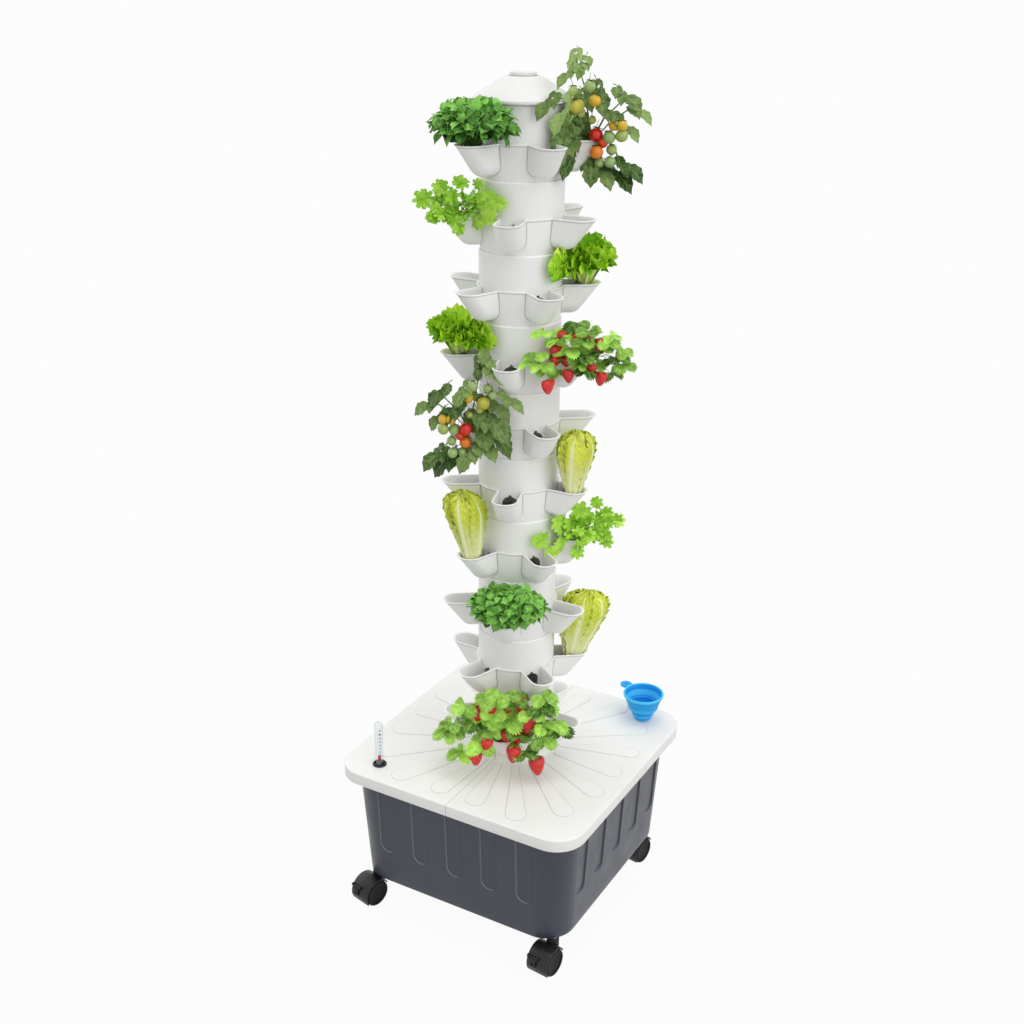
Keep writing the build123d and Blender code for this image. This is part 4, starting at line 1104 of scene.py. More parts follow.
@dataclass
class Tank:
    """The tapered water tank with five flutes down each side."""

    floor: float = 62 * MM
    rim: float = 295.5 * MM
    half_bottom: float = 209 * MM
    half_top: float = 221 * MM
    corner: float = 55 * MM
    flange: float = 11 * MM
    wall: float = 3 * MM
    foot_round: float = 3.5 * MM
    flutes: int = 5
    pitch: float = 71 * MM
    flute_half: float = 17 * MM
    flute_depth: float = 2.4 * MM
    flute_edge: float = 1.9 * MM
    flute_foot: float = 147 * MM
    flute_margin: float = 1.6 * MM
    # these place the painted highlight and shade on the flutes' edges
    painted_light_inset: float = 0.9 * MM
    painted_light_half: float = 1.3 * MM
    painted_light_turn: float = 0.55
    painted_light_slope: float = 4.0
    cell: float = 0.85 * MM
    corner_steps: int = 16

    def half(self, height: float) -> float:
        """Gives half the tank's width at a height."""
        share = (height - self.floor) / (self.rim - self.floor)
        return self.half_bottom + (self.half_top - self.half_bottom) * share

    def columns(self) -> list[float]:
        """Gives the places across a side where the mesh has columns, close together at the flutes."""
        reach = self.flute_half + self.flute_margin
        count = round(2 * reach / self.cell)
        places = []
        for index in range(self.flutes):
            centre = (index - (self.flutes - 1) / 2) * self.pitch
            places += [centre - reach + 2 * reach * i / count for i in range(count + 1)]
        return places

    def from_flute(self, across: float, height: float) -> Pair:
        """Finds a point's place at the nearest flute.

        Args:
            across: Distance from the side's middle.
            height: Height above the ground.

        Returns:
            Distance beside the flute's middle and below the centre of its round foot.
        """
        last = self.flutes // 2
        index = min(max(round(across / self.pitch), -last), last)
        return across - index * self.pitch, min(height - self.flute_foot, 0.0)

    def sunk(self, across: float, height: float) -> float:
        """Gives how deep the flutes cut at a point of a side.

        Args:
            across: Distance from the side's middle.
            height: Height above the ground.

        Returns:
            Depth below the plain side.
        """
        away = math.hypot(*self.from_flute(across, height))
        share = unit((self.flute_half - away) / self.flute_edge)
        return self.flute_depth * share * share * (3 - 2 * share)

    def painted_flute_light(self, across: float, height: float) -> float:
        """Gives the painted light on a flute's edge: a painted highlight on the left and the foot, painted shade on the
        right.

        Args:
            across: Distance from the side's middle.
            height: Height above the ground.

        Returns:
            From -1, painted highlight, to 1, painted shade, and 0 off the edges.
        """
        aside, below = self.from_flute(across, height)
        off = abs(self.flute_half - self.painted_light_inset - math.hypot(aside, below))
        turned = (aside / self.flute_half - self.painted_light_turn) * self.painted_light_slope
        return max(1 - off / self.painted_light_half, 0.0) * min(max(turned, -1.0), 1.0)

    def outline(self, height: float, grow: float, fluted: bool) -> list[Vector]:
        """Draws the tank's outline at a height.

        Args:
            height: Height above the ground.
            grow: Offset from the outer side.
            fluted: Whether the flutes show.

        Returns:
            Points right round the tank.
        """
        half, corner = self.half(height) + grow, self.corner + grow
        flat = half - corner
        across = self.columns()
        lean = math.asin(min(max(across[-1] - flat, 0.0) / corner, 1.0))
        points = []
        for quarter in range(4):
            spin = Matrix.Rotation(quarter * math.pi / 2, 3, "Z")
            for x in across:
                over = max(abs(x) - flat, 0.0)
                face = flat + math.sqrt(corner * corner - over * over)
                sunk = self.sunk(x, height) if fluted else 0.0
                points.append(spin @ Vector((x, sunk - face, height)))
            for i in range(1, self.corner_steps):
                swing = lean + (math.pi / 2 - 2 * lean) * i / self.corner_steps
                points.append(spin @ (Vector((flat, -flat, height)) + polar(corner, swing - math.pi / 2)))
        return points

    def build(self) -> None:
        """Stacks the tank's outlines from the floor up, over the rim and down inside."""
        soft, low = self.foot_round, self.flute_foot - self.flute_half - self.flute_margin
        bends = [math.pi / 10 * i for i in range(6)]
        levels = [(self.floor + soft * (1 - math.cos(a)), -soft * (1 - math.sin(a)), True) for a in bends]
        levels += [(self.floor + (low - self.floor) * i / 3, 0.0, True) for i in (1, 2)]
        count = round((self.flute_foot - low) / self.cell)
        levels += [(low + (self.flute_foot - low) * i / count, 0.0, True) for i in range(count + 1)]
        under, inside = self.rim - self.wall, -2 * self.wall
        levels += [(self.flute_foot + (under - self.flute_foot) * i / 4, 0.0, True) for i in range(1, 5)]
        levels += [(under, self.flange, False), (self.rim, self.flange, False), (self.rim, inside, False),
                   (self.floor + self.wall, inside, False)]
        sketch = Sketch()
        line = sketch.line_layer()
        rows = sketch.stack([self.outline(*level) for level in levels])
        across, side = self.columns(), len(rows[0]) // 4
        # paints a highlight on each flute's left edge and foot and shade on its right edge
        for row, (height, _, fluted) in zip(rows, levels):
            for index, vert in enumerate(row):
                if fluted and index % side < len(across):
                    vert[line] = self.painted_flute_light(across[index % side], height)
        sketch.close(rows[0])
        sketch.close(rows[-1])
        show("tank", sketch.tidy().shade(40).mesh("tank"), [Paint.TANK], "tower")


# ---------------------------------------------------------------- casters, gauge and funnel


@dataclass
class Caster:
    """One twin-wheel caster; angles about the axle are measured up from the trailing side."""

    name: str
    across: int
    along: int
    turn: float
    braked: bool = False
    span: float = 185 * MM
    trail: float = 22 * MM
    wheel_radius: float = 25 * MM
    half_width: float = 21.3 * MM
    near: float = 4.3 * MM
    hood_inner: float = 26 * MM
    hood_outer: float = 28.5 * MM
    front: float = -30.0
    back: float = 150.0
    boss_radius: float = 11 * MM
    boss_top: float = 58.7 * MM
    boss_length: float = 22 * MM
    brake_side: float = -9 * MM
    brake_half: float = 8 * MM
    brake_angle: float = 32.0
    brake_thick: float = 3 * MM
    brake_gap: float = 0.3 * MM
    hole_angle: float = 8.5
    ear: tuple[Pair, ...] = ((0, 0), (2.6, 0), (3, 0.4), (3, 2.6), (2.6, 3), (0, 3))

    def stand(self) -> Matrix:
        """Gives the caster's place under the tank."""
        corner = Matrix.Translation((self.across * self.span, self.along * self.span, 0))
        return corner @ Matrix.Rotation(math.radians(self.turn), 4, "Z")

    def axle(self) -> Matrix:
        """Gives the frame whose Z axis lies along the axle and whose angles start at the trailing side."""
        hub = self.stand() @ Matrix.Translation((0, -self.trail, self.wheel_radius))
        return hub @ Matrix.Rotation(math.pi / 2, 4, "Y") @ Matrix.Rotation(-math.pi / 2, 4, "Z")

    def brake_pivot(self, along: float = 0.0) -> Matrix:
        """Gives the brake pin's place in the axle's frame, some way along the axle."""
        radius = self.hood_outer + self.brake_gap + self.brake_thick / 2
        return Matrix.Translation(polar(radius, -math.radians(self.brake_angle), along))

    def swept(self, section: Sequence[Pair], start: float, end: float, steps: int) -> Sketch:
        """Sweeps a section part of the way round the axle and closes its ends.

        Args:
            section: Radius and place along the axle of each corner.
            start, end: Angles in degrees.
            steps: Facets along the sweep.

        Returns:
            The swept form in the axle's frame.
        """
        sketch = Sketch()
        turns = [start + (end - start) * i / steps for i in range(steps + 1)]
        rows = sketch.stack([[polar(r, -math.radians(a), x) for r, x in section] for a in turns])
        sketch.close(rows[0])
        sketch.close(rows[-1])
        return sketch.tidy()

    def hood(self) -> None:
        """Builds the hood with its web, boss and the brake's ears."""
        w, ri, ro, web = self.half_width, self.hood_inner, self.hood_outer, self.near - 0.3 * MM
        right = [(2 * MM, web), (ri, web), (ri, w), (ro - 1.4 * MM, w), (ro - 0.4 * MM, w - 0.4 * MM),
                 (ro, w - 1.4 * MM), (ro, 0.5 * MM), (ro - 0.35 * MM, 0.25 * MM)]
        section = right + [(r, -x) for r, x in reversed(right)]
        sketch = self.swept(section, self.front, self.back, 40)
        sketch.place(self.axle())
        boss = Sketch()
        top, foot, r = self.boss_top, self.boss_top - self.boss_length, self.boss_radius
        boss.turn([(0, foot), (r, foot), (r, top - 1.2 * MM), (r - 0.4 * MM, top - 0.3 * MM), (r - 1.2 * MM, top),
                   (0, top)], 40)
        sketch.add(boss.mesh("boss"), self.stand())
        if self.braked:
            for side in (-1, 1):
                ear = Sketch()
                low = self.brake_side + side * (self.brake_half + 1.8 * MM) - 1.5 * MM
                ear.turn([(radius * MM, low + along * MM) for radius, along in self.ear], 20)
                sketch.add(ear.mesh("ear"), self.axle() @ self.brake_pivot())
        name = f"caster_hood_{self.name}"
        show(name, sketch.tidy().shade(38).mesh(name), [Paint.CASTER], f"caster_{self.name}")

    def wheels(self) -> None:
        """Builds both wheels with rounded treads and dished faces."""
        r, near, far = self.wheel_radius / MM, self.near / MM, self.half_width / MM
        tread = metres((0, near), (r - 1.6, near), (r - 0.5, near + 0.4), (r, near + 1.5), (r, far - 3.4),
                       (r - 0.4, far - 1.9), (r - 1.4, far - 0.6), (r - 2.9, far), (19.9, far), (19.3, far - 0.3),
                       (18.6, far - 1.2), (17.6, far - 1.5), (9, far - 1.75), (0, far - 1.8))
        sketch = Sketch()
        sketch.turn(tread, 72)
        mould = sketch.tidy().shade(30).mesh("wheel_mould")
        pair = Sketch()
        for flip in (Matrix.Identity(4), Matrix.Rotation(math.pi, 4, "X")):
            pair.add(mould, self.axle() @ flip)
        name = f"caster_wheels_{self.name}"
        show(name, pair.mesh(name), [Paint.WHEEL], f"wheels_{self.name}")

    def brake(self) -> None:
        """Builds the brake pedal with its thumb ridge and round hole."""
        low = self.hood_outer + self.brake_gap
        high = low + self.brake_thick
        left, right = self.brake_side - self.brake_half, self.brake_side + self.brake_half
        plate = self.swept([(low, left), (high, left), (high, right), (low, right)], 0.5, self.brake_angle, 12)
        plate.soften(0.7 * MM, 40, 2)
        hole = Sketch()
        hole.turn(metres((0, -9), (2.3, -9), (2.3, 9), (0, 9)), 20)
        spot = (Matrix.Rotation(-math.radians(self.hole_angle), 4, "Z")
                @ Matrix.Translation((high, 0, self.brake_side + 1.5 * MM)) @ Matrix.Rotation(math.pi / 2, 4, "Y"))
        sketch = Sketch()
        sketch.add(carve(plate.mesh("brake_plate"), hole.tidy().place(spot).mesh("brake_hole")), Matrix.Identity(4))
        foot, peak = high - 0.6 * MM, high + 1.5 * MM
        ridge = self.swept([(foot, left + 1.5 * MM), (peak, left + 2.2 * MM), (peak, right - 2.2 * MM),
                            (foot, right - 1.5 * MM)], 18.0, 27.0, 5)
        sketch.add(ridge.soften(0.5 * MM, 40, 2).mesh("brake_ridge"), Matrix.Identity(4))
        pin = Sketch()
        reach = self.brake_half + 3.2 * MM
        pin.turn([(0, -reach), (1.5 * MM, -reach), (1.5 * MM, reach), (0, reach)], 16)
        sketch.add(pin.mesh("brake_pin"), self.brake_pivot(self.brake_side))
        name = f"brake_lever_{self.name}"
        sketch.place(self.axle()).tidy().shade(35)
        show(name, sketch.mesh(name), [Paint.CASTER], f"brake_{self.name}")

    def build(self) -> None:
        """Builds the caster's pieces."""
        self.hood()
        self.wheels()
        if self.braked:
            self.brake()


@dataclass
class Gauge:
    """The level gauge: clear tube in a black grommet, with a red float rod in a grey bush."""

    place: Triple = (-169.5 * MM, -193 * MM, 298 * MM)
    radius: float = 7 * MM
    wall: float = 1 * MM
    height: float = 87 * MM
    foot: float = -6 * MM
    grommet_radius: float = 12.5 * MM
    mark_bearing: float = -38.0
    mark_depth: float = 0.25 * MM
    mark_rows: tuple[Triple, ...] = ((73, 2.6, 0.7), (65, 1.9, 1.6), (57, 1.3, 1.3), (50, 1.2, 1.2), (43, 1.1, 1.1),
                                     (36, 1.0, 1.0), (29, 0.9, 0.9), (22, 0.8, 0.8))

    def spun(self, name: str, profile: Sequence[Pair], steps: int, paints: Sequence[Paint], body: str,
             extra: Callable[[Sketch], None] | None = None) -> None:
        """Turns one piece of the gauge and puts it in place.

        Args:
            name: CAD node that it stands for.
            profile: Closed section, radius and height in millimetres.
            steps: Facets round.
            paints: Finishes.
            body: Body it rides on.
            extra: Adds further parts before it is placed.
        """
        sketch = Sketch()
        sketch.turn(metres(*profile), steps, closed=True)
        sketch.tidy()
        if extra:
            extra(sketch)
        sketch.place(Matrix.Translation(self.place)).shade(32)
        show(name, sketch.mesh(name), paints, body)

    def marks(self, sketch: Sketch) -> None:
        """Sets the row of level marks on the tube, smaller toward the bottom."""
        for height, wide, tall in self.mark_rows:
            dot = bmesh.ops.create_uvsphere(sketch.bm, u_segments=12, v_segments=8, radius=1.0)["verts"]
            shape = (Matrix.Rotation(math.radians(self.mark_bearing), 4, "Z")
                     @ Matrix.Translation((self.radius, 0, height * MM))
                     @ Matrix.Diagonal((self.mark_depth, wide * MM, tall * MM, 1)))
            bmesh.ops.transform(sketch.bm, matrix=shape, verts=dot)
            for face in {face for vert in dot for face in vert.link_faces}:
                face.material_index = 1

    def build(self) -> None:
        """Builds the gauge's pieces from the grommet up."""
        r, top, foot = self.radius / MM, self.height / MM, self.foot / MM
        g, b = self.grommet_radius / MM, r - self.wall / MM
        grommet = [(r + 0.2, foot), (9.8, foot), (9.8, 0), (g, 0), (g, 1.5), (g - 0.5, 2.5), (g - 1.5, 3),
                   (g - 2.6, 2.8), (g - 3.2, 2), (g - 3.4, 0.2), (r + 0.2, 0.2)]
        tube = [(b, foot), (r, foot), (r, top - 5), (r - 0.6, top - 2.6), (r - 2.4, top - 0.7), (2.6, top), (0, top),
                (0, top - 1), (2.4, top - 1.1), (b - 2, top - 1.9), (b - 0.4, top - 3.6), (b, top - 6)]
        guide = [(1.9, foot), (b - 0.2, foot), (b - 0.2, 4.5), (b - 0.8, 6), (4.1, 6.6), (3.6, 8.6), (3.1, 9), (1.9, 9)]
        rod = [(0, -90), (1.6, -90), (1.6, 9.3), (2.8, 9.3), (2.8, 16.2), (2.3, 17.1), (1.4, 17.3), (0, 17.3)]
        self.spun("gauge_grommet", grommet, 48, [Paint.GROMMET], "tower")
        self.spun("gauge_tube", tube, 40, [Paint.CLEAR, Paint.MARK], "tower", self.marks)
        self.spun("gauge_guide", guide, 32, [Paint.GUIDE], "tower")
        self.spun("gauge_rod", rod, 24, [Paint.ROD], "float")


@dataclass
class Funnel:
    """The collapsible blue funnel that stands in the filler port."""

    place: Triple = (169.5 * MM, 193 * MM, 298.3 * MM)
    wall: float = 2.0
    spout_radius: float = 8.5
    spout_length: float = 25.0
    tab_azimuth: float = 161.0
    tab_root: float = 35.5
    tab_reach: float = 46.0
    tab_radius: float = 11.0
    tab_hole: float = 2.6
    tab_top: float = 54.6
    tab_thick: float = 3.0
    tab_swing: float = 112.0

    def section(self) -> list[Triple]:
        """Draws the funnel's section.

        Returns:
            Radius, height and painted tone of each point, in millimetres; the tone paints shade where positive, in the
            folds and down the spout's bore, and a highlight where negative, on the ridges and the rim.
        """
        outer = [(12.6, 0.0, 0.4), (13.4, 0.3, 0.2), (15.6, 1.6, -0.3), (17.0, 3.4, -0.3), (17.6, 6.0, 0.0),
                 (17.7, 7.2, 0.7), (18.9, 8.2, 0.4), (19.9, 9.4, -0.5), (20.3, 13.0, -0.5), (20.6, 14.6, 0.3),
                 (22.0, 16.6, 0.8), (24.3, 19.4, 0.7), (26.2, 22.2, 0.4), (27.0, 23.8, -0.1), (28.3, 25.0, -0.5),
                 (28.9, 26.4, -0.5), (29.2, 31.0, -0.2), (29.3, 32.4, 0.5), (30.4, 34.0, 0.1), (33.6, 42.5, 0.1),
                 (35.2, 47.5, 0.2), (35.6, 49.0, 0.8), (36.6, 49.4, 0.3), (37.6, 50.2, -0.6), (38.0, 51.8, -1.0),
                 (38.0, 53.6, -1.0), (37.5, 54.8, -1.0), (36.6, 55.3, -1.0), (35.4, 55.0, -1.0), (34.6, 54.0, -0.4)]
        inner = [(33.8, 51.0, 0.5), (32.2, 45.6, 0.5), (31.6, 44.0, -0.9), (28.6, 36.0, -0.9), (27.9, 34.2, -0.3),
                 (27.6, 33.4, 0.8), (27.3, 32.4, -0.9), (27.0, 31.0, -0.9), (26.6, 27.0, 0.7), (26.2, 25.6, 1.0),
                 (24.4, 23.2, 0.9), (21.0, 18.6, 0.4), (19.4, 16.4, -0.9), (18.4, 14.4, -0.9), (18.0, 10.2, -0.6),
                 (15.8, 7.8, 0.2), (15.4, 4.4, 0.4), (11.0, 2.2, 0.6)]
        spout, end = self.spout_radius, -self.spout_length
        bore = spout - self.wall
        return outer + inner + [(bore, 2.0, 1.0), (bore, end, 1.0), (spout, end, 0.0), (spout, 0.0, 0.0)]

    def tab(self) -> Mesh:
        """Builds the hanging tab with its hole.

        Returns:
            The tab's mesh in the funnel's frame.
        """
        lobe = Sketch()
        root, reach, radius = self.tab_root, self.tab_reach, self.tab_radius
        waist = [(root + 0.5, -9.5), (root + 4, -9.2)]
        swings = [math.radians(self.tab_swing * (i / 12 - 1)) for i in range(25)]
        end = [(reach + radius * math.cos(a), radius * math.sin(a)) for a in swings]
        outline = waist + end + [(x, -y) for x, y in reversed(waist)]
        levels = (self.tab_top - self.tab_thick, self.tab_top)
        for row in lobe.stack([[Vector((x, y, z)) * MM for x, y in outline] for z in levels]):
            lobe.close(row)
        lobe.tidy().soften(0.9 * MM, 50, 2)
        hole = Sketch()
        hole.turn([(0, 0), (self.tab_hole * MM, 0), (self.tab_hole * MM, 0.1), (0, 0.1)], 24)
        hole.tidy().place(Matrix.Translation((reach * MM, 0, 0)))
        return carve(lobe.mesh("tab_blank"), hole.mesh("tab_hole"))

    def build(self) -> None:
        """Turns the funnel, adds its tab and stands it in the port."""
        sketch = Sketch()
        line = sketch.line_layer()
        section = self.section()
        # the section's tones paint shade in the folds and the bore and highlights on the ridges and the rim
        tones = {(round(r, 2), round(z, 2)): tone for r, z, tone in section}
        for vert in sketch.turn([(r * MM, z * MM) for r, z, _ in section], 96, closed=True):
            vert[line] = tones[round(vert.co.xy.length / MM, 2), round(vert.co.z / MM, 2)]
        sketch.add(self.tab(), Matrix.Rotation(math.radians(self.tab_azimuth), 4, "Z"))
        sketch.place(Matrix.Translation(self.place))
        show("funnel", sketch.tidy().shade(48).mesh("funnel"), [Paint.FUNNEL], "funnel")


@dataclass
class InnerWorks:
    """The pieces inside the tank and tower, which keep their CAD shapes."""

    paints: dict[Paint, tuple[str, ...]] = field(default_factory=lambda: {
        Paint.TOWER: ("distributor",), Paint.PIPE: ("riser_pipe", "riser_coupling"),
        Paint.PUMP: ("pump_body", "pump_cover", "pump_impeller"), Paint.RUBBER: ("pump_feet",),
        Paint.STEEL: ("pump_shaft", "caster_stems", "caster_axle_front", "caster_axle_left", "caster_axle_right",
                      "caster_axle_rear"),
        Paint.CUP: ("net_cups",), Paint.FLOAT: ("gauge_float",)})

    def build(self) -> None:
        """Dresses each carried-over piece."""
        for paint, names in self.paints.items():
            for name in names:
                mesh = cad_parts[name].data
                mesh.materials.clear()
                mesh.materials.append(paint.value.material())
                LOG.info("%s: carried over", name)


# ---------------------------------------------------------------- stage


@dataclass(frozen=True)
class Studio:
    """White studio with soft light and the photograph's camera."""

    eye: Triple = (1.0503, -1.8645, 1.6394)
    down: float = 22.4438
    heading: float = 29.662
    roll: float = 0.5906
    lens: float = 47.25
    sensor: float = 36.0
    pixels: int = 1024
    sky: Pair = (0.46, 0.95)
    floor_half: float = 90.0
    floor_tone: Rgb = (190, 190, 190)
    floor_glow: float = 0.95
    lamps: tuple[tuple[str, float, float, Triple], ...] = (
        ("overhead", 0.55, 38.0, (0.1, 0.0, 1.0)), ("right_hand", 0.85, 60.0, (0.92, -0.15, 0.4)),
        ("left_hand", 0.6, 60.0, (-0.92, 0.12, 0.4)), ("front", 0.16, 70.0, (0.4, -0.8, 0.4)))

    def camera(self) -> None:
        """Places the camera that took the photograph."""
        data = bpy.data.cameras.new("camera")
        data.lens, data.sensor_width, data.clip_start = self.lens, self.sensor, 10 * MM
        camera = bpy.data.objects.new("camera", data)
        heading, pitch, roll = (math.radians(angle) for angle in (self.heading, 90 - self.down, self.roll))
        camera.matrix_world = (Matrix.Translation(self.eye) @ Matrix.Rotation(heading, 4, "Z")
                               @ Matrix.Rotation(pitch, 4, "X") @ Matrix.Rotation(roll, 4, "Z"))
        bpy.context.scene.collection.objects.link(camera)
        bpy.context.scene.camera = camera

    def sky_light(self) -> None:
        """Makes the world white to the camera and a plain soft light to the object."""
        world = bpy.data.worlds.new("studio")
        bpy.context.scene.world = world
        bench = Bench.cleared(world)
        facing = bench.feed(bench.add("SeparateXYZ"), {0: bench.add("TexCoord").outputs["Generated"]})
        strength = bench.spread(facing.outputs["Z"], 0.0, 1.0, *self.sky)
        white = (1, 1, 1, 1)
        soft = bench.feed(bench.add("Background"), {"Color": white, "Strength": strength})
        plain = bench.feed(bench.add("Background"), {"Color": white})
        mix = bench.feed(bench.add("MixShader"), {0: bench.seen(), 1: soft.outputs[0], 2: plain.outputs[0]})
        bench.feed(bench.add("OutputWorld"), {"Surface": mix.outputs[0]})

    def light(self, name: str, strength: float, spread: float, origin: Triple) -> None:
        """Sets up one wide soft lamp.

        Args:
            name: Lamp name.
            strength: Strength at the object.
            spread: Angle that the lamp fills, in degrees.
            origin: Direction that the light comes from.
        """
        data = bpy.data.lights.new(name, "SUN")
        data.energy, data.angle = strength, math.radians(spread)
        lamp = bpy.data.objects.new(name, data)
        lamp.matrix_world = Vector(origin).to_track_quat("Z", "Y").to_matrix().to_4x4()
        bpy.context.scene.collection.objects.link(lamp)

    def floor(self) -> None:
        """Lays the pale floor, nearly white to the camera but for the object's soft shadow."""
        sketch = Sketch()
        bmesh.ops.create_grid(sketch.bm, x_segments=1, y_segments=1, size=self.floor_half)
        mesh = sketch.mesh("floor")
        made = bpy.data.materials.new("floor")
        bench = Bench.cleared(made)
        plain = bench.feed(bench.add("BsdfDiffuse"), {"Color": linear(*self.floor_tone)})
        glow = bench.add("Emission")
        share = bench.math("MULTIPLY", bench.seen(), self.floor_glow)
        mix = bench.feed(bench.add("MixShader"), {0: share, 1: plain.outputs[0], 2: glow.outputs[0]})
        bench.feed(bench.add("OutputMaterial"), {"Surface": mix.outputs[0]})
        mesh.materials.append(made)
        floor = bpy.data.objects.new("floor", mesh)
        bpy.context.scene.collection.objects.link(floor)

    def build(self) -> None:
        """Sets camera, lights, floor and view."""
        self.camera()
        self.sky_light()
        for lamp in self.lamps:
            self.light(*lamp)
        self.floor()
        scene = bpy.context.scene
        scene.view_settings.view_transform = "Standard"
        scene.render.resolution_x = scene.render.resolution_y = self.pixels


# ---------------------------------------------------------------- plants


@dataclass(frozen=True)
class LeafShape:
    """How one kind of leaf is cut and bent; sizes in metres at size 1.

    A leaf with a fan angle spreads from the end of its stalk in an arc of lobes; any other has a plain blade.
    """

    length: float
    width: float
    rows: int
    cols: int
    swell: float = 0.9
    taper: float = 1.0
    stalk: float = 0.0
    fan: float = 0.0
    lobes: int = 0
    lobe_depth: float = 0.0
    fold: float = 0.3
    droop: float = 0.5
    ripple: float = 0.0
    waves: float = 3.0

    def flat(self, across: float, along: float) -> Pair:
        """Gives a point of the leaf laid flat.

        Args:
            across: From -1 at the left edge to 1 at the right.
            along: Share of the length from the stalk.

        Returns:
            Distance to the side and along the leaf, in metres.
        """
        strip = self.width / 2 * across
        if not self.fan:
            share = max(math.sin(math.pi * min(max(along, 0.015), 0.985) ** self.taper), 0.0) ** self.swell
            share = max(share, self.stalk * (1 - along))
            if self.lobes:
                share *= 1 - self.lobe_depth * (0.5 + 0.5 * math.cos(2 * math.pi * self.lobes * along))
            return strip * share, self.length * along * (1 - 0.22 * across ** 2 * along ** 2)
        if along <= self.stalk:
            return strip * (0.6 + 0.4 * along / self.stalk), along * self.length
        notch = 1 - self.lobe_depth * abs(math.cos(math.pi * self.lobes * (across + 1) / 2)) ** self.taper
        reach = (along - self.stalk) * self.length * notch * (1 - self.swell * across ** 2)
        swing = math.radians(self.fan) * across
        return strip + reach * math.sin(swing), self.stalk * self.length + reach * math.cos(swing)

    def frill(self, across: float, along: float, phase: float) -> float:
        """Gives how far a point is lifted by the leaf's ripples.

        Args:
            across, along: Place on the leaf, as for flat.
            phase: Start of the ripples.

        Returns:
            Lift in metres.
        """
        if not self.fan:
            turn = self.waves * math.pi * (along * 1.3 + 0.6 * across)
            return self.ripple * along * abs(across) ** 1.3 * math.sin(turn + phase)
        share = max(along - self.stalk, 0.0) / (1 - self.stalk)
        turn = self.waves * math.pi * across
        finer = math.sin(2.3 * turn + 2 * phase + 3 * share)
        return self.ripple * share ** 1.5 * (math.sin(turn + phase) + 0.45 * finer)


class Leaf(Enum):
    """The leaf shapes."""

    HERB = LeafShape(26 * MM, 19 * MM, 6, 4, 0.58, 0.85, fold=0.3, droop=0.6)
    CORIANDER = LeafShape(19 * MM, 3 * MM, 3, 20, 0.3, 7.0, 0.05, 112, 5, 0.36, 0.1, 0.35, 1.2 * MM, 3)
    LETTUCE = LeafShape(86 * MM, 26 * MM, 14, 44, 0.12, 4.0, 0.5, 88, 11, 0.11, 0.0, 0.4, 8.0 * MM, 6.5)
    ROMAINE = LeafShape(108 * MM, 62 * MM, 26, 18, ripple=5.6 * MM, waves=13)
    TOMATO = LeafShape(42 * MM, 31 * MM, 12, 4, 0.55, 0.85, lobes=3, lobe_depth=0.17, fold=0.22, droop=0.95)
    STRAWBERRY = LeafShape(36 * MM, 3 * MM, 4, 22, 0.56, 1.0, 0.04, 44, 11, 0.15, 0.3, 0.7, 1.2 * MM, 2)
    SEPAL = LeafShape(9 * MM, 3.4 * MM, 3, 2, 0.8, 0.7, fold=0.1, droop=0.9)


@dataclass(frozen=True)
class LeafFinish(Finish):
    """A leaf: tones by age and by painted light, paler veins and a rib."""

    name: str
    deep: Rgb
    fresh: Rgb
    vein: Rgb
    pairs: float = 6.0
    vein_share: float = 0.35
    rib: float = 0.06
    pale: float = 0.0
    roughness: float = 0.42
    shine: float = 0.18

    def dress(self, bench: Bench, shader: Node) -> None:
        """Wires blade, veins and the pale foot."""
        blade = bench.group(Effects.leaf_blade(), {"Pairs": self.pairs, "Rib": self.rib})
        tone = bench.blend(blade.outputs["Tone"], linear(*self.deep), linear(*self.fresh))
        if self.pale:
            tone = bench.blend(bench.math("MULTIPLY", blade.outputs["Foot"], self.pale), tone, linear(*self.vein))
        veins = bench.math("MULTIPLY", blade.outputs["Vein"], self.vein_share)
        dull = bench.spread(blade.outputs["Tone"], 0.0, 1.0, self.roughness, self.roughness + 0.15)
        bench.feed(shader, {"Base Color": bench.blend(veins, tone, linear(*self.vein)), "Roughness": dull,
                            "Specular IOR Level": self.shine,
                            "Normal": bench.bump(blade.outputs["Relief"], 0.5, 0.6 * MM)})


@dataclass(frozen=True)
class FruitFinish(Finish):
    """Ripening fruit: the mesh's tone runs from unripe to ripe; some fruit is seeded."""

    name: str
    stages: tuple[Rgb, ...]
    seeds: bool = False
    roughness: float = 0.22
    seed_tone: Rgb = (238, 190, 92)

    def dress(self, bench: Bench, shader: Node) -> None:
        """Wires the ripening tones and, where asked, the seeds."""
        value = bench.add("Attribute", attribute_name="tone").outputs["Fac"]
        tone: object = linear(*self.stages[0])
        spans = len(self.stages) - 1
        for index, stage in enumerate(self.stages[1:]):
            tone = bench.blend(bench.spread(value, index / spans, (index + 1) / spans), tone, linear(*stage))
        blush = bench.spread(bench.noise(bench.here(), 160.0), 0.35, 0.75, 0.0, 0.22)
        tone = bench.blend(blush, tone, linear(*dimmed(self.stages[-1], 0.72)))
        if self.seeds:
            cell = bench.feed(bench.add("TexVoronoi"), {"Scale": 330.0, "Vector": bench.here()})
            seed = bench.spread(cell.outputs["Distance"], 0.2, 0.1)
            tone = bench.blend(seed, tone, linear(*self.seed_tone))
            bench.feed(shader, {"Normal": bench.bump(seed, 0.6, 0.8 * MM, True)})
        dull = bench.spread(blush, 0.0, 0.22, self.roughness, self.roughness + 0.12)
        bench.feed(shader, {"Base Color": tone, "Roughness": dull})


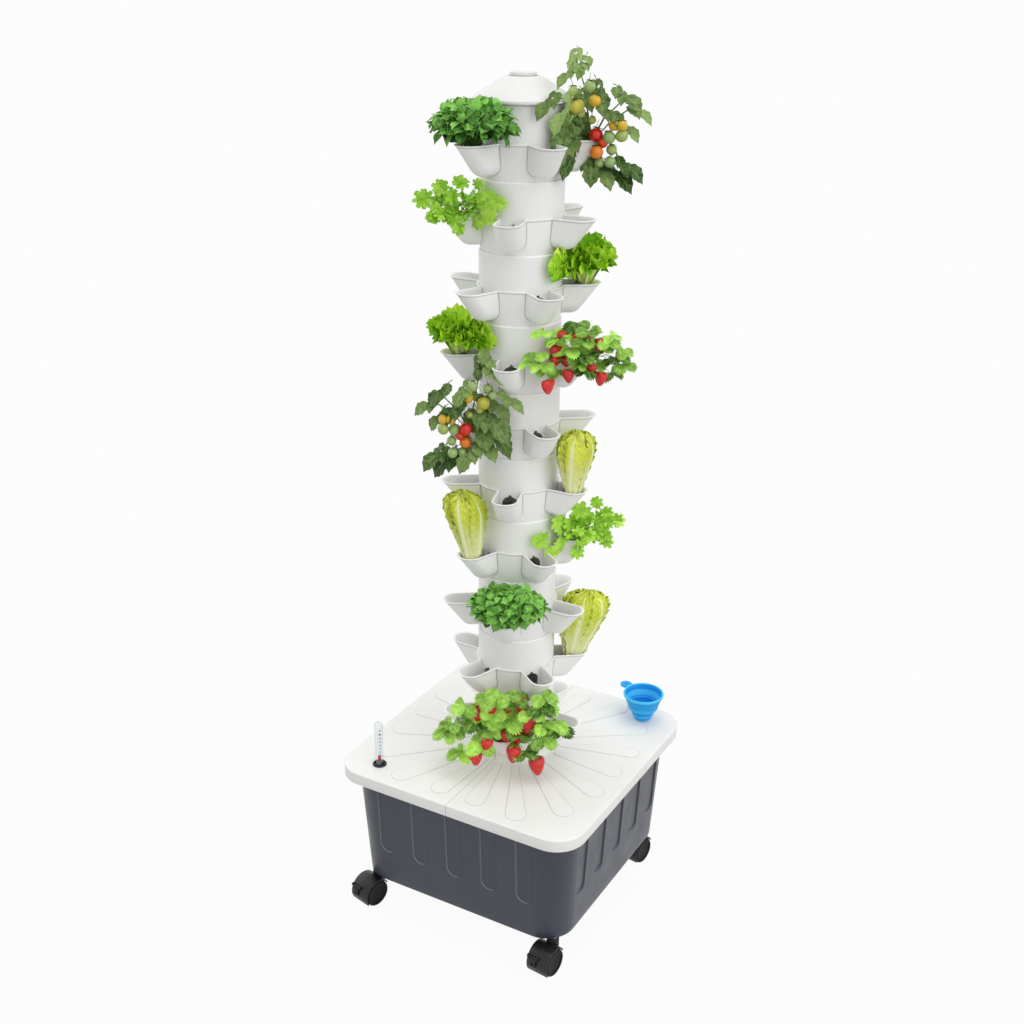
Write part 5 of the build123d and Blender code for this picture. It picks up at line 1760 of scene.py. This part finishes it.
class Foliage(Enum):
    """The finishes of leaves, stems and fruit."""

    HERB = LeafFinish("herb_leaf", (30, 86, 22), (150, 218, 100), (184, 222, 140), 5, 0.3)
    CORIANDER = LeafFinish("coriander_leaf", (138, 196, 44), (194, 244, 96), (206, 234, 130), 3, 0.2)
    LETTUCE = LeafFinish("lettuce_leaf", (124, 198, 8), (214, 254, 66), (232, 246, 170), 6, 0.25, 0.1, 0.9)
    ROMAINE = LeafFinish("romaine_leaf", (192, 210, 36), (234, 244, 84), (250, 252, 214), 13, 0.9, 0.16, 0.6)
    TOMATO = LeafFinish("tomato_leaf", (42, 78, 22), (154, 184, 106), (178, 200, 134), 5, 0.35)
    STRAWBERRY = LeafFinish("strawberry_leaf", (30, 86, 0), (194, 250, 104), (216, 242, 168), 6, 0.5)
    GREEN_STEM = LeafFinish("green_stem", (76, 120, 48), (150, 186, 96), (176, 204, 124), 2, 0.2)
    PALE_STEM = LeafFinish("pale_stem", (142, 180, 90), (196, 214, 140), (214, 226, 170), 2, 0.2)
    CHERRY = FruitFinish("cherry_tomato", ((150, 186, 112), (178, 186, 66), (228, 184, 40), (236, 124, 28),
                                           (214, 32, 22)))
    BERRY = FruitFinish("strawberry_fruit", ((200, 30, 34), (222, 30, 36)), True, 0.28)


@dataclass(frozen=True)
class Spot:
    """One planted pod and how its plant stands in it."""

    tier: int
    bearing: float
    flip: bool = False
    wide: float = 1.0
    tall: float = 1.0
    lean: float = 0.0
    clear: float = 82 * MM
    rise: float = 0.0
    slide: float = 0.0
    reach: float = 105 * MM

    def frame(self) -> Matrix:
        """Gives the plant's frame at the pod's rim: X across the view, Y away from it, Z up."""
        foot = polar(self.reach, math.radians(self.bearing), PLAN.rim(self.tier) + self.rise)
        return Matrix.Translation(foot) @ Matrix.Rotation(math.radians(Studio.heading), 4, "Z")


class Planting:
    """Gathers the leaves, stems and fruit of one kind of plant in a mesh."""

    node: str
    slot: str
    finishes: tuple[Foliage, ...]
    spots: tuple[Spot, ...]
    seed: int = 1
    press: float = 0.7
    ease: float = 12 * MM

    def __init__(self) -> None:
        self.sketch = Sketch()
        self.draw = random.Random(self.seed)
        self.uv = self.sketch.bm.loops.layers.uv.new("leaf")
        self.tone = self.sketch.bm.verts.layers.float.new("tone")

    def stray(self, reach: float) -> float:
        """Draws a number up to a reach either way."""
        return self.draw.uniform(-reach, reach)

    def loose(self, count: int, wide: Pair, tall: Pair, sizes: Pair) -> tuple[Triple, ...]:
        """Draws further sprays.

        Args:
            count: Number of sprays.
            wide, tall: Range of their places across and up.
            sizes: Range of their sizes.

        Returns:
            Place across, place up and size of each.
        """
        ranges = (wide, tall, sizes)
        return tuple(tuple(self.draw.uniform(*span) for span in ranges) for _ in range(count))

    def finish(self, verts: Iterable[Vert], slot: int) -> set[bmesh.types.BMFace]:
        """Smooths the faces of new growth and sets their finish.

        Args:
            verts: Vertices of the growth.
            slot: Index of its finish.

        Returns:
            The faces.
        """
        faces = {face for vert in verts for face in vert.link_faces}
        for face in faces:
            face.material_index = slot
            face.smooth = True
        return faces

    def blade(self, shape: LeafShape, slot: int, place: Callable[[float, float], tuple[Vector, float]]) -> None:
        """Adds a leaf's blade.

        Args:
            shape: Cut of the leaf.
            slot: Index of its finish.
            place: Gives the point and the age tone at a place across and along the leaf.
        """
        grid = bmesh.ops.create_grid(self.sketch.bm, x_segments=shape.cols, y_segments=shape.rows, size=1.0)["verts"]
        marks = {vert: (vert.co.x, (vert.co.y + 1) / 2) for vert in grid}
        for vert, mark in marks.items():
            vert.co, vert[self.tone] = place(*mark)
        for face in self.finish(grid, slot):
            for loop in face.loops:
                s, t = marks[loop.vert]
                loop[self.uv].uv = ((s + 1) / 2, t)

    def leaf(self, base: Vector, aim: Vector, up: Vector, shape: LeafShape, size: float, tone: float,
             slot: int = 0) -> None:
        """Adds one leaf.

        Args:
            base: Where the blade starts.
            aim: Direction that it grows in.
            up: Direction that its upper face looks to.
            shape: Cut of the leaf.
            size: Scale of the leaf.
            tone: Tone, 0 deep and 1 fresh: the leaf's age, on some plants with painted light that pales upper and outer
                leaves.
            slot: Index of its finish.
        """
        aim = aim.normalized()
        side = aim.cross(up).normalized()
        turned = Matrix((side, aim, side.cross(aim))).transposed()
        phase, bend = self.draw.uniform(0, math.tau), shape.droop * self.draw.uniform(0.7, 1.3)

        def place(s: float, t: float) -> tuple[Vector, float]:
            """Bends the flat leaf's point into place."""
            x, run = shape.flat(s, t)
            swing, arc = bend * run / shape.length, shape.length / bend
            y, z = arc * math.sin(swing), -arc * (1 - math.cos(swing))
            rise = abs(x) * shape.fold + shape.frill(s, t, phase)
            local = Vector((x, y + rise * math.sin(swing), z + rise * math.cos(swing))) * size
            return base + turned @ local, tone

        self.blade(shape, slot, place)

    def stem(self, points: Sequence[Vector], radius: float, tone: float, slot: int = 1) -> None:
        """Adds a round stem through points, thinner toward its end.

        Args:
            points: Places along the stem.
            radius: Radius at its foot.
            tone: Age tone.
            slot: Index of its finish.
        """
        rows = []
        for index, point in enumerate(points):
            along = (points[min(index + 1, len(points) - 1)] - points[max(index - 1, 0)]).normalized()
            side = along.orthogonal().normalized()
            other = along.cross(side)
            thick = radius * (1 - 0.5 * index / (len(points) - 1))
            ring = [math.tau * i / 5 for i in range(5)]
            rows.append([point + (side * math.cos(a) + other * math.sin(a)) * thick for a in ring])
        made = [vert for row in self.sketch.stack(rows) for vert in row]
        for vert in made:
            vert[self.tone] = tone
        self.finish(made, slot)

    def arched(self, start: Vector, end: Vector, sag: float, steps: int = 5) -> list[Vector]:
        """Draws an arched run between two points, raised by a share of its length."""
        rise = lift(sag * (end - start).length)
        return [start.lerp(end, i / steps) + rise * math.sin(math.pi * i / steps) for i in range(steps + 1)]

    def fruit(self, centre: Vector, profile: Sequence[Pair], tone: float, slot: int, tilt: Vector) -> None:
        """Adds a turned fruit hanging from its top, with sepals.

        Args:
            centre: Place of the fruit's middle.
            profile: Radius and height of its section.
            tone: Ripeness.
            slot: Index of its finish.
            tilt: Direction of its stalk end.
        """
        place = Matrix.Translation(centre) @ tilt.to_track_quat("Z", "Y").to_matrix().to_4x4()
        verts = self.sketch.turn(profile, 18)
        bmesh.ops.transform(self.sketch.bm, matrix=place, verts=verts)
        for vert in verts:
            vert[self.tone] = tone
        self.finish(verts, slot)
        crown = place @ lift(profile[-1][1])
        for i in range(5):
            aim = place.to_3x3() @ Vector((math.cos(math.tau * i / 5), math.sin(math.tau * i / 5), 0.25))
            self.leaf(crown, aim, tilt, Leaf.SEPAL.value, profile[len(profile) // 2][0] / (7 * MM), 0.4)

    def grow(self, spot: Spot) -> None:
        """Grows one plant in its own frame."""
        raise NotImplementedError

    def settle(self, verts: Iterable[Vert], spot: Spot) -> None:
        """Stands new growth in its pod, in front of the tower wherever it would run into it.

        Args:
            verts: Vertices of the new growth.
            spot: Pod that it stands in.
        """
        stand = spot.frame()
        front = stand.to_3x3() @ Vector((0, -1, 0))
        inward = (stand.to_3x3().transposed() @ -stand.translation).xy.normalized()
        for vert in verts:
            wide = spot.wide * (-1 if spot.flip else 1)
            local = Vector((vert.co.x * wide, vert.co.y, vert.co.z * spot.tall))
            local.x += spot.lean * local.z + spot.slide
            local.y -= self.press * max(local.xy.dot(inward) - self.ease, 0.0)
            point = stand @ local
            if point.xy.length < spot.clear:
                ahead = point.xy.dot(front.xy)
                short = max(ahead * ahead - point.xy.length_squared + spot.clear ** 2, 0.0)
                point += front * (math.sqrt(short) - ahead)
            vert.co = point

    def build(self) -> None:
        """Grows every plant of the kind and puts them in the scene."""
        for spot in self.spots:
            before = set(self.sketch.bm.verts)
            self.grow(spot)
            self.settle([vert for vert in self.sketch.bm.verts if vert not in before], spot)
        bmesh.ops.recalc_face_normals(self.sketch.bm, faces=self.sketch.bm.faces)
        show(self.node, self.sketch.mesh(self.node), self.finishes, "tower")


class Herbs(Planting):
    """Dense mounds of dark oval leaves."""

    node, slot, seed = "herb_plants", "leaf_dark", 11
    finishes = (Foliage.HERB, Foliage.GREEN_STEM)
    spots = (Spot(1, -108), Spot(8, -72, wide=1.03, tall=1.0))
    count: int = 64
    mound: Triple = (56, 40, 31)

    def grow(self, spot: Spot) -> None:
        """Sends stems to the skin of a low mound and sets leaves round their ends in crossed pairs."""
        wide, deep, tall = self.mound
        for index in range(self.count):
            swing, rise = math.tau * index * GOLDEN_SHARE, -0.3 + 1.3 * (index + 0.5) / self.count
            flat = math.sqrt(1 - rise * rise)
            stretch = self.draw.uniform(0.86, 1.04)
            tip = Vector((5 + wide * flat * math.cos(swing) * stretch, deep * flat * math.sin(swing) * stretch,
                          28 + tall * rise * stretch)) * MM
            path = self.arched(lift(-8 * MM), tip, 0.08)
            self.stem(path, 0.9 * MM, 0.2)
            aim = (tip - lift(8 * MM)).normalized()
            side = aim.cross(Vector((0.1, 0.05, 1))).normalized()
            other = aim.cross(side)
            for step, (across, size) in enumerate(((side, 1.0), (other, 0.95), (side + other, 0.8))):
                for way in (-1, 1):
                    # higher and outer leaves are paler: painted light, over a random age
                    fresh = unit(0.3 + 0.3 * rise + 0.15 * step + self.stray(0.4))
                    stray = Vector([self.stray(0.45) for _ in range(3)])
                    look = Vector((self.stray(0.7), self.draw.uniform(-0.9, 0.3), self.draw.uniform(0.3, 1.1)))
                    out = across.normalized() * way + aim * (0.4 + 0.4 * step) + stray
                    self.leaf(path[step + 3], out, aim * 0.6 + look, Leaf.HERB.value,
                              size * self.draw.uniform(0.75, 1.1), fresh)


class Coriander(Planting):
    """Airy sprays of scalloped leaves on thin stems."""

    node, slot, seed = "coriander_plants", "leaf_light", 23
    finishes = (Foliage.CORIANDER, Foliage.PALE_STEM)
    spots = (Spot(2, -144, wide=0.84, tall=0.82, slide=9 * MM), Spot(7, 36, wide=0.93, tall=0.9, rise=4 * MM))
    sprays: tuple[Triple, ...] = (
        (-67, 24, 1.25), (-35, 47, 1.15), (2, 61, 1.2), (33, 59, 0.85), (52, 41, 1.0), (71, 31, 1.0), (43, 4, 1.0),
        (30, -11, 0.9), (-2, -20, 0.95), (15, 10, 1.0), (-51, -3, 0.9), (-32, 4, 1.0), (-13, 34, 1.05), (18, 34, 1.0),
        (-29, 27, 1.0), (0, 18, 1.0), (-12, 8, 0.9), (38, 24, 0.9))

    def grow(self, spot: Spot) -> None:
        """Sends a stem to each spray and sets lobed leaves round its end."""
        for x, z, size in self.sprays + self.loose(28, (-50, 58), (-8, 40), (0.7, 0.95)):
            tip = Vector((x, self.draw.uniform(-40, 26) * (1 - abs(x) / 110), z)) * MM
            foot = Vector((self.stray(6), self.stray(6), -10)) * MM
            self.stem(self.arched(foot, tip, 0.12), 0.9 * MM, self.draw.random())
            out = Vector((x / 60, -0.3 + self.stray(0.3), z / 70 - 0.2)).normalized()
            for turn, share in ((0.0, 1.0), (-1.5, 0.8), (1.5, 0.8)):
                aim = Matrix.Rotation(turn + self.stray(0.25), 3, "Y") @ out
                look = Vector((self.stray(0.35), -0.9, 0.75))
                grown = size * share * self.draw.uniform(0.85, 1.1)
                self.leaf(tip, aim, look, Leaf.CORIANDER.value, grown, self.draw.random())


class Lettuces(Planting):
    """Frilly fans of loose-leaf lettuce."""

    node, slot, seed = "lettuce_plants", "leaf_bright", 37
    finishes = (Foliage.LETTUCE, Foliage.PALE_STEM)
    spots = (Spot(3, 36, wide=0.94, tall=1.08), Spot(4, -144, flip=True, wide=0.9, tall=1.0, slide=4 * MM))

    def grow(self, spot: Spot) -> None:
        """Sets frilled leaves round a heart, the outer ones lower and more spread."""
        count = 26
        for index in range(count):
            swing, lean = math.tau * index * GOLDEN_SHARE, 0.06 + 0.52 * math.sqrt(index / count)
            out = Vector((math.cos(swing), math.sin(swing) * 0.8, 0))
            aim = out * lean + Vector((-0.12, 0, 1 - 0.3 * lean))
            size = self.draw.uniform(0.86, 1.02) * (1 - 0.1 * lean)
            look = Vector((-out.x, -out.y - 0.15, 0.35))
            self.leaf(out * 7 * MM + lift(-8 * MM), aim, look, Leaf.LETTUCE.value, size, self.draw.random())


class Romaines(Planting):
    """Upright heads of pale romaine, leaves wrapped round a heart."""

    node, slot, seed = "romaine_plants", "leaf_yellow", 41
    finishes = (Foliage.ROMAINE, Foliage.PALE_STEM)
    spots = (Spot(6, 0, wide=0.98, tall=0.92, lean=0.04), Spot(7, -108, wide=1.05, tall=1.02, lean=-0.14),
             Spot(9, 36, wide=1.3, tall=1.06, lean=0.17))
    girth: tuple[Pair, ...] = ((12, -10), (16, 8), (22, 32), (28, 58), (30, 78), (26, 95), (16, 106), (4, 112))
    layers: tuple[tuple[int, float, float, float, float], ...] = (
        (3, -1.4, 1.5, 1.0, -6.0), (4, -2.2, 1.0, 0.97, -2.5), (5, -1.75, 0.74, 0.9, 1.5))

    def wrap(self, bearing: float, half: float, top: float, swell: float) -> None:
        """Adds one leaf that hugs the head.

        Args:
            bearing: Direction that the leaf's rib looks to.
            half: Half the angle that it covers.
            top: Share of the head's height that it reaches.
            swell: Distance from the head's skin, in millimetres.
        """
        shape = Leaf.ROMAINE.value
        skin = flowing(self.girth, 6)
        phase, tone = self.draw.uniform(0, math.tau), self.draw.random()

        def place(s: float, t: float) -> tuple[Vector, float]:
            """Lays a point of the leaf round the head."""
            narrow = math.sqrt(max(1 - max(t - 0.62, 0.0) ** 2 / 0.16, 0.04))
            cover = half * (0.85 + 0.15 * min(t / 0.45, 1.0)) * narrow
            reach, height = skin[round(t * top * (len(skin) - 1))]
            frill = shape.frill(s, t, phase) / MM * narrow ** 3
            reach += swell + 5.0 * t * abs(s) ** 3 * narrow + frill - 2.2 * math.exp(-(s / 0.16) ** 2) * (1 - t)
            height += 0.9 * frill * t + 2.0 * math.sin(6 * s + phase) * t ** 6
            turn = bearing + cover * s + 0.05 * math.sin(9 * t + phase) * s
            # paler toward the leaf edges and the top: painted light over the shade between the layers, on a random age
            age_and_light = unit(tone + 0.35 * abs(s) - 0.2 + 0.6 * max(t - 0.6, 0))
            return polar(reach * MM, turn, height * MM), age_and_light

        self.blade(shape, 0, place)

    def grow(self, spot: Spot) -> None:
        """Wraps three layers of leaves, the outer ones shorter."""
        for count, start, half, top, swell in self.layers:
            for index in range(count):
                bearing = start + math.tau * index / count + self.stray(0.15)
                self.wrap(bearing, half, top * self.draw.uniform(0.96, 1.0), swell + self.stray(0.8))


class Tomatoes(Planting):
    """Cherry tomato plants with drooping lobed leaves and fruit in every stage."""

    node, slot, seed = "tomato_plants", "leaf_grey", 53
    finishes = (Foliage.TOMATO, Foliage.GREEN_STEM, Foliage.CHERRY)
    spots = (Spot(1, 36, wide=0.95, tall=0.95), Spot(5, -108, flip=True, wide=0.88, tall=0.95))
    shoots: tuple[tuple[float, ...], ...] = (
        (-4, 40, -12, 85, -26, 126), (22, 34, 40, 52, 56, 70), (-14, 46, -46, 70, -70, 66),
        (26, 4, 44, -20, 46, -44), (-16, 10, -34, -4, -44, -24), (34, 30, 60, 48, 78, 46))
    sprays: tuple[Triple, ...] = (
        (-30, 128, 0.65), (-40, 106, 0.7), (-14, 112, 0.6), (-70, 64, 0.85), (-38, 24, 1.35), (-18, 12, 1.3),
        (-46, -8, 1.2), (-28, -26, 0.95), (2, -36, 1.0), (44, -52, 1.1), (22, -50, 0.9), (62, -40, 1.0), (56, 68, 0.95),
        (78, 42, 0.85), (30, 44, 0.95), (-10, 66, 0.8), (14, 74, 0.8), (-44, 46, 1.0), (60, 18, 0.8))
    fruits: tuple[tuple[float, float, float, float], ...] = (
        (9, 9, 10.5, 1.0), (10, -17, 10, 0.72), (30, 6, 9.5, 0.0), (50, 9, 9.5, 0.08), (37, 25, 8, 0.5),
        (50, 25, 8, 0.45), (-23, 54, 11, 0.3), (5, 63, 9, 0.48), (-16, 42, 6.5, 0.1), (-40, 70, 7, 0.0),
        (-31, 79, 7.5, 0.05), (-4, 84, 9, 0.0), (35, -14, 8, 0.05), (16, -35, 7.5, 0.0), (33, -33, 8.5, 0.0),
        (2, 32, 6, 0.15), (20, -3, 8, 0.95))

    def grow(self, spot: Spot) -> None:
        """Grows the shoots, hangs compound leaves on them and sets the fruit."""
        look = Vector((0, -0.7, 1))
        for run in self.shoots:
            places = [Vector((run[i], -10 - 3 * i, run[i + 1])) * MM for i in range(0, len(run), 2)]
            self.stem([lift(-10 * MM)] + places, 1.8 * MM, 0.4)
        for x, z, size in self.sprays:
            hub = Vector((x, self.draw.uniform(-34, 4), z)) * MM
            out = Vector((x * 0.02 + self.stray(0.5), -0.55 + self.stray(0.4),
                          -0.25 + self.draw.uniform(-0.3, 0.25))).normalized()
            back = hub - out * 26 * MM * size + lift(14 * MM)
            self.stem(self.arched(back, hub, 0.1, 4), 0.8 * MM, 0.5)
            # higher sprays are paler: painted light, over a random age
            tone = unit(0.38 + 0.0015 * z + self.draw.uniform(-0.35, 0.4))
            self.leaf(hub, out + lift(-0.3), look, Leaf.TOMATO.value, size, tone)
            for share, way in ((0.25, -1), (0.25, 1), (0.7, -1), (0.7, 1)):
                aim = out.cross(lift(1)).normalized() * way + out * 0.5 + lift(-0.35)
                small = size * self.draw.uniform(0.6, 0.8)
                self.leaf(hub.lerp(back, share), aim, look, Leaf.TOMATO.value, small, tone)
        bends = [math.pi * i / 10 for i in range(11)]
        for x, z, radius, ripe in self.fruits:
            centre = Vector((x, -26 + self.draw.uniform(-8, 6) - 0.1 * abs(x), z)) * MM
            section = [(1.12 * radius * MM * math.sin(a), -1.05 * radius * MM * math.cos(a)) for a in bends]
            self.fruit(centre, section, ripe, 2, Vector((self.stray(0.5), 0.3, 1)))
            twig = centre + Vector((self.stray(8), 14, radius + 12)) * MM
            self.stem(self.arched(centre + Vector((0, 3, radius * 0.9)) * MM, twig, 0.1, 3), 0.7 * MM, 0.5)


class Strawberries(Planting):
    """Strawberry plants with toothed leaves in threes and berries over the rim."""

    node, slot, seed = "strawberry_plants", "leaf_mid", 67
    finishes = (Foliage.STRAWBERRY, Foliage.PALE_STEM, Foliage.BERRY)
    spots = (Spot(4, 0, flip=True, wide=0.78, tall=0.7), Spot(10, -72, clear=74 * MM, rise=10 * MM))
    sprays: tuple[Triple, ...] = (
        (-96, -2, 1.0), (-78, 10, 0.95), (-70, -30, 1.0), (-66, 58, 0.95), (0, 86, 1.0), (-22, 74, 0.95), (68, 78, 0.9),
        (84, 24, 1.0), (70, 2, 1.0), (62, -14, 0.85), (12, 32, 1.3), (-8, 20, 1.0), (-36, -8, 1.0), (46, 54, 0.95),
        (-48, 26, 1.0), (30, 12, 0.9), (-14, 52, 0.9), (96, 10, 0.85), (38, -22, 0.85), (-90, 22, 0.8), (20, 66, 0.9))
    berries: tuple[Triple, ...] = (
        (-48, -27, 1.0), (18, -21, 1.0), (59, -44, 1.08), (-45, 44, 1.0), (-22, 58, 0.85), (30, 60, 0.95),
        (42, 28, 1.15), (4, 0, 0.85), (-28, -4, 0.8), (24, 2, 0.85), (8, 58, 0.8), (44, 6, 0.8))
    berry: tuple[Pair, ...] = ((0, -17), (3.2, -16), (6.6, -11.5), (9.8, -4.5), (11.6, 2), (11.4, 6.4), (8.6, 9.6),
                               (4, 10.6), (0, 10.2))

    def grow(self, spot: Spot) -> None:
        """Sends up the leaf stalks, sets three toothed leaflets on each and hangs the berries."""
        for x, z, size in self.sprays + self.loose(12, (-72, 74), (-8, 66), (0.75, 0.95)):
            tip = Vector((x, self.draw.uniform(-42, 0) * (1 - abs(x) / 160), z)) * MM
            self.stem(self.arched(Vector((x * 0.08, -4, -10)) * MM, tip, 0.22), 1.1 * MM, 0.6)
            out = Vector((x * 0.014 + self.stray(0.25), -0.6 + self.draw.uniform(-0.5, 0.3),
                          self.draw.uniform(-0.25, 0.15))).normalized()
            # higher leaves are paler: painted light, over a random age
            tone = unit(0.4 + 0.004 * z + self.stray(0.5))
            for turn in (-1.35, 0.0, 1.35):
                aim = Matrix.Rotation(turn, 3, "Z") @ out
                look = Vector((out.x * 0.4 + self.stray(0.5), self.draw.uniform(-1.1, -0.3), 1))
                grown = size * self.draw.uniform(0.85, 1.08)
                self.leaf(tip, aim, look, Leaf.STRAWBERRY.value, grown, tone + self.stray(0.2))
        for x, z, size in self.berries:
            centre = Vector((x, -36 if z < 0 else -12 + self.stray(8), z)) * MM
            section = [(1.15 * r * size * MM, 1.15 * h * size * MM) for r, h in self.berry]
            self.fruit(centre, section, self.draw.random(), 2, Vector((self.stray(0.25), 0.25, 1)))
            stalk = centre + Vector((0, 2, 10 * size)) * MM
            self.stem(self.arched(Vector((x * 0.2, -8, 6)) * MM, stalk, 0.25), 0.8 * MM, 0.6)


def main() -> None:
    """Builds the pieces in order."""
    logging.basicConfig(level=logging.INFO, format="%(message)s")
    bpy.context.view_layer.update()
    PodRings().build()
    Tubes().build()
    Cap().build()
    Lid().build()
    Tank().build()
    for caster in (Caster("front", 1, -1, -6, True), Caster("left", -1, -1, -13, True), Caster("right", 1, 1, -9),
                   Caster("rear", -1, 1, -20)):
        caster.build()
    Gauge().build()
    Funnel().build()
    InnerWorks().build()
    for kind in (Herbs, Coriander, Lettuces, Romaines, Tomatoes, Strawberries):
        kind().build()
    Studio().build()


if __name__ == "__main__":
    main()
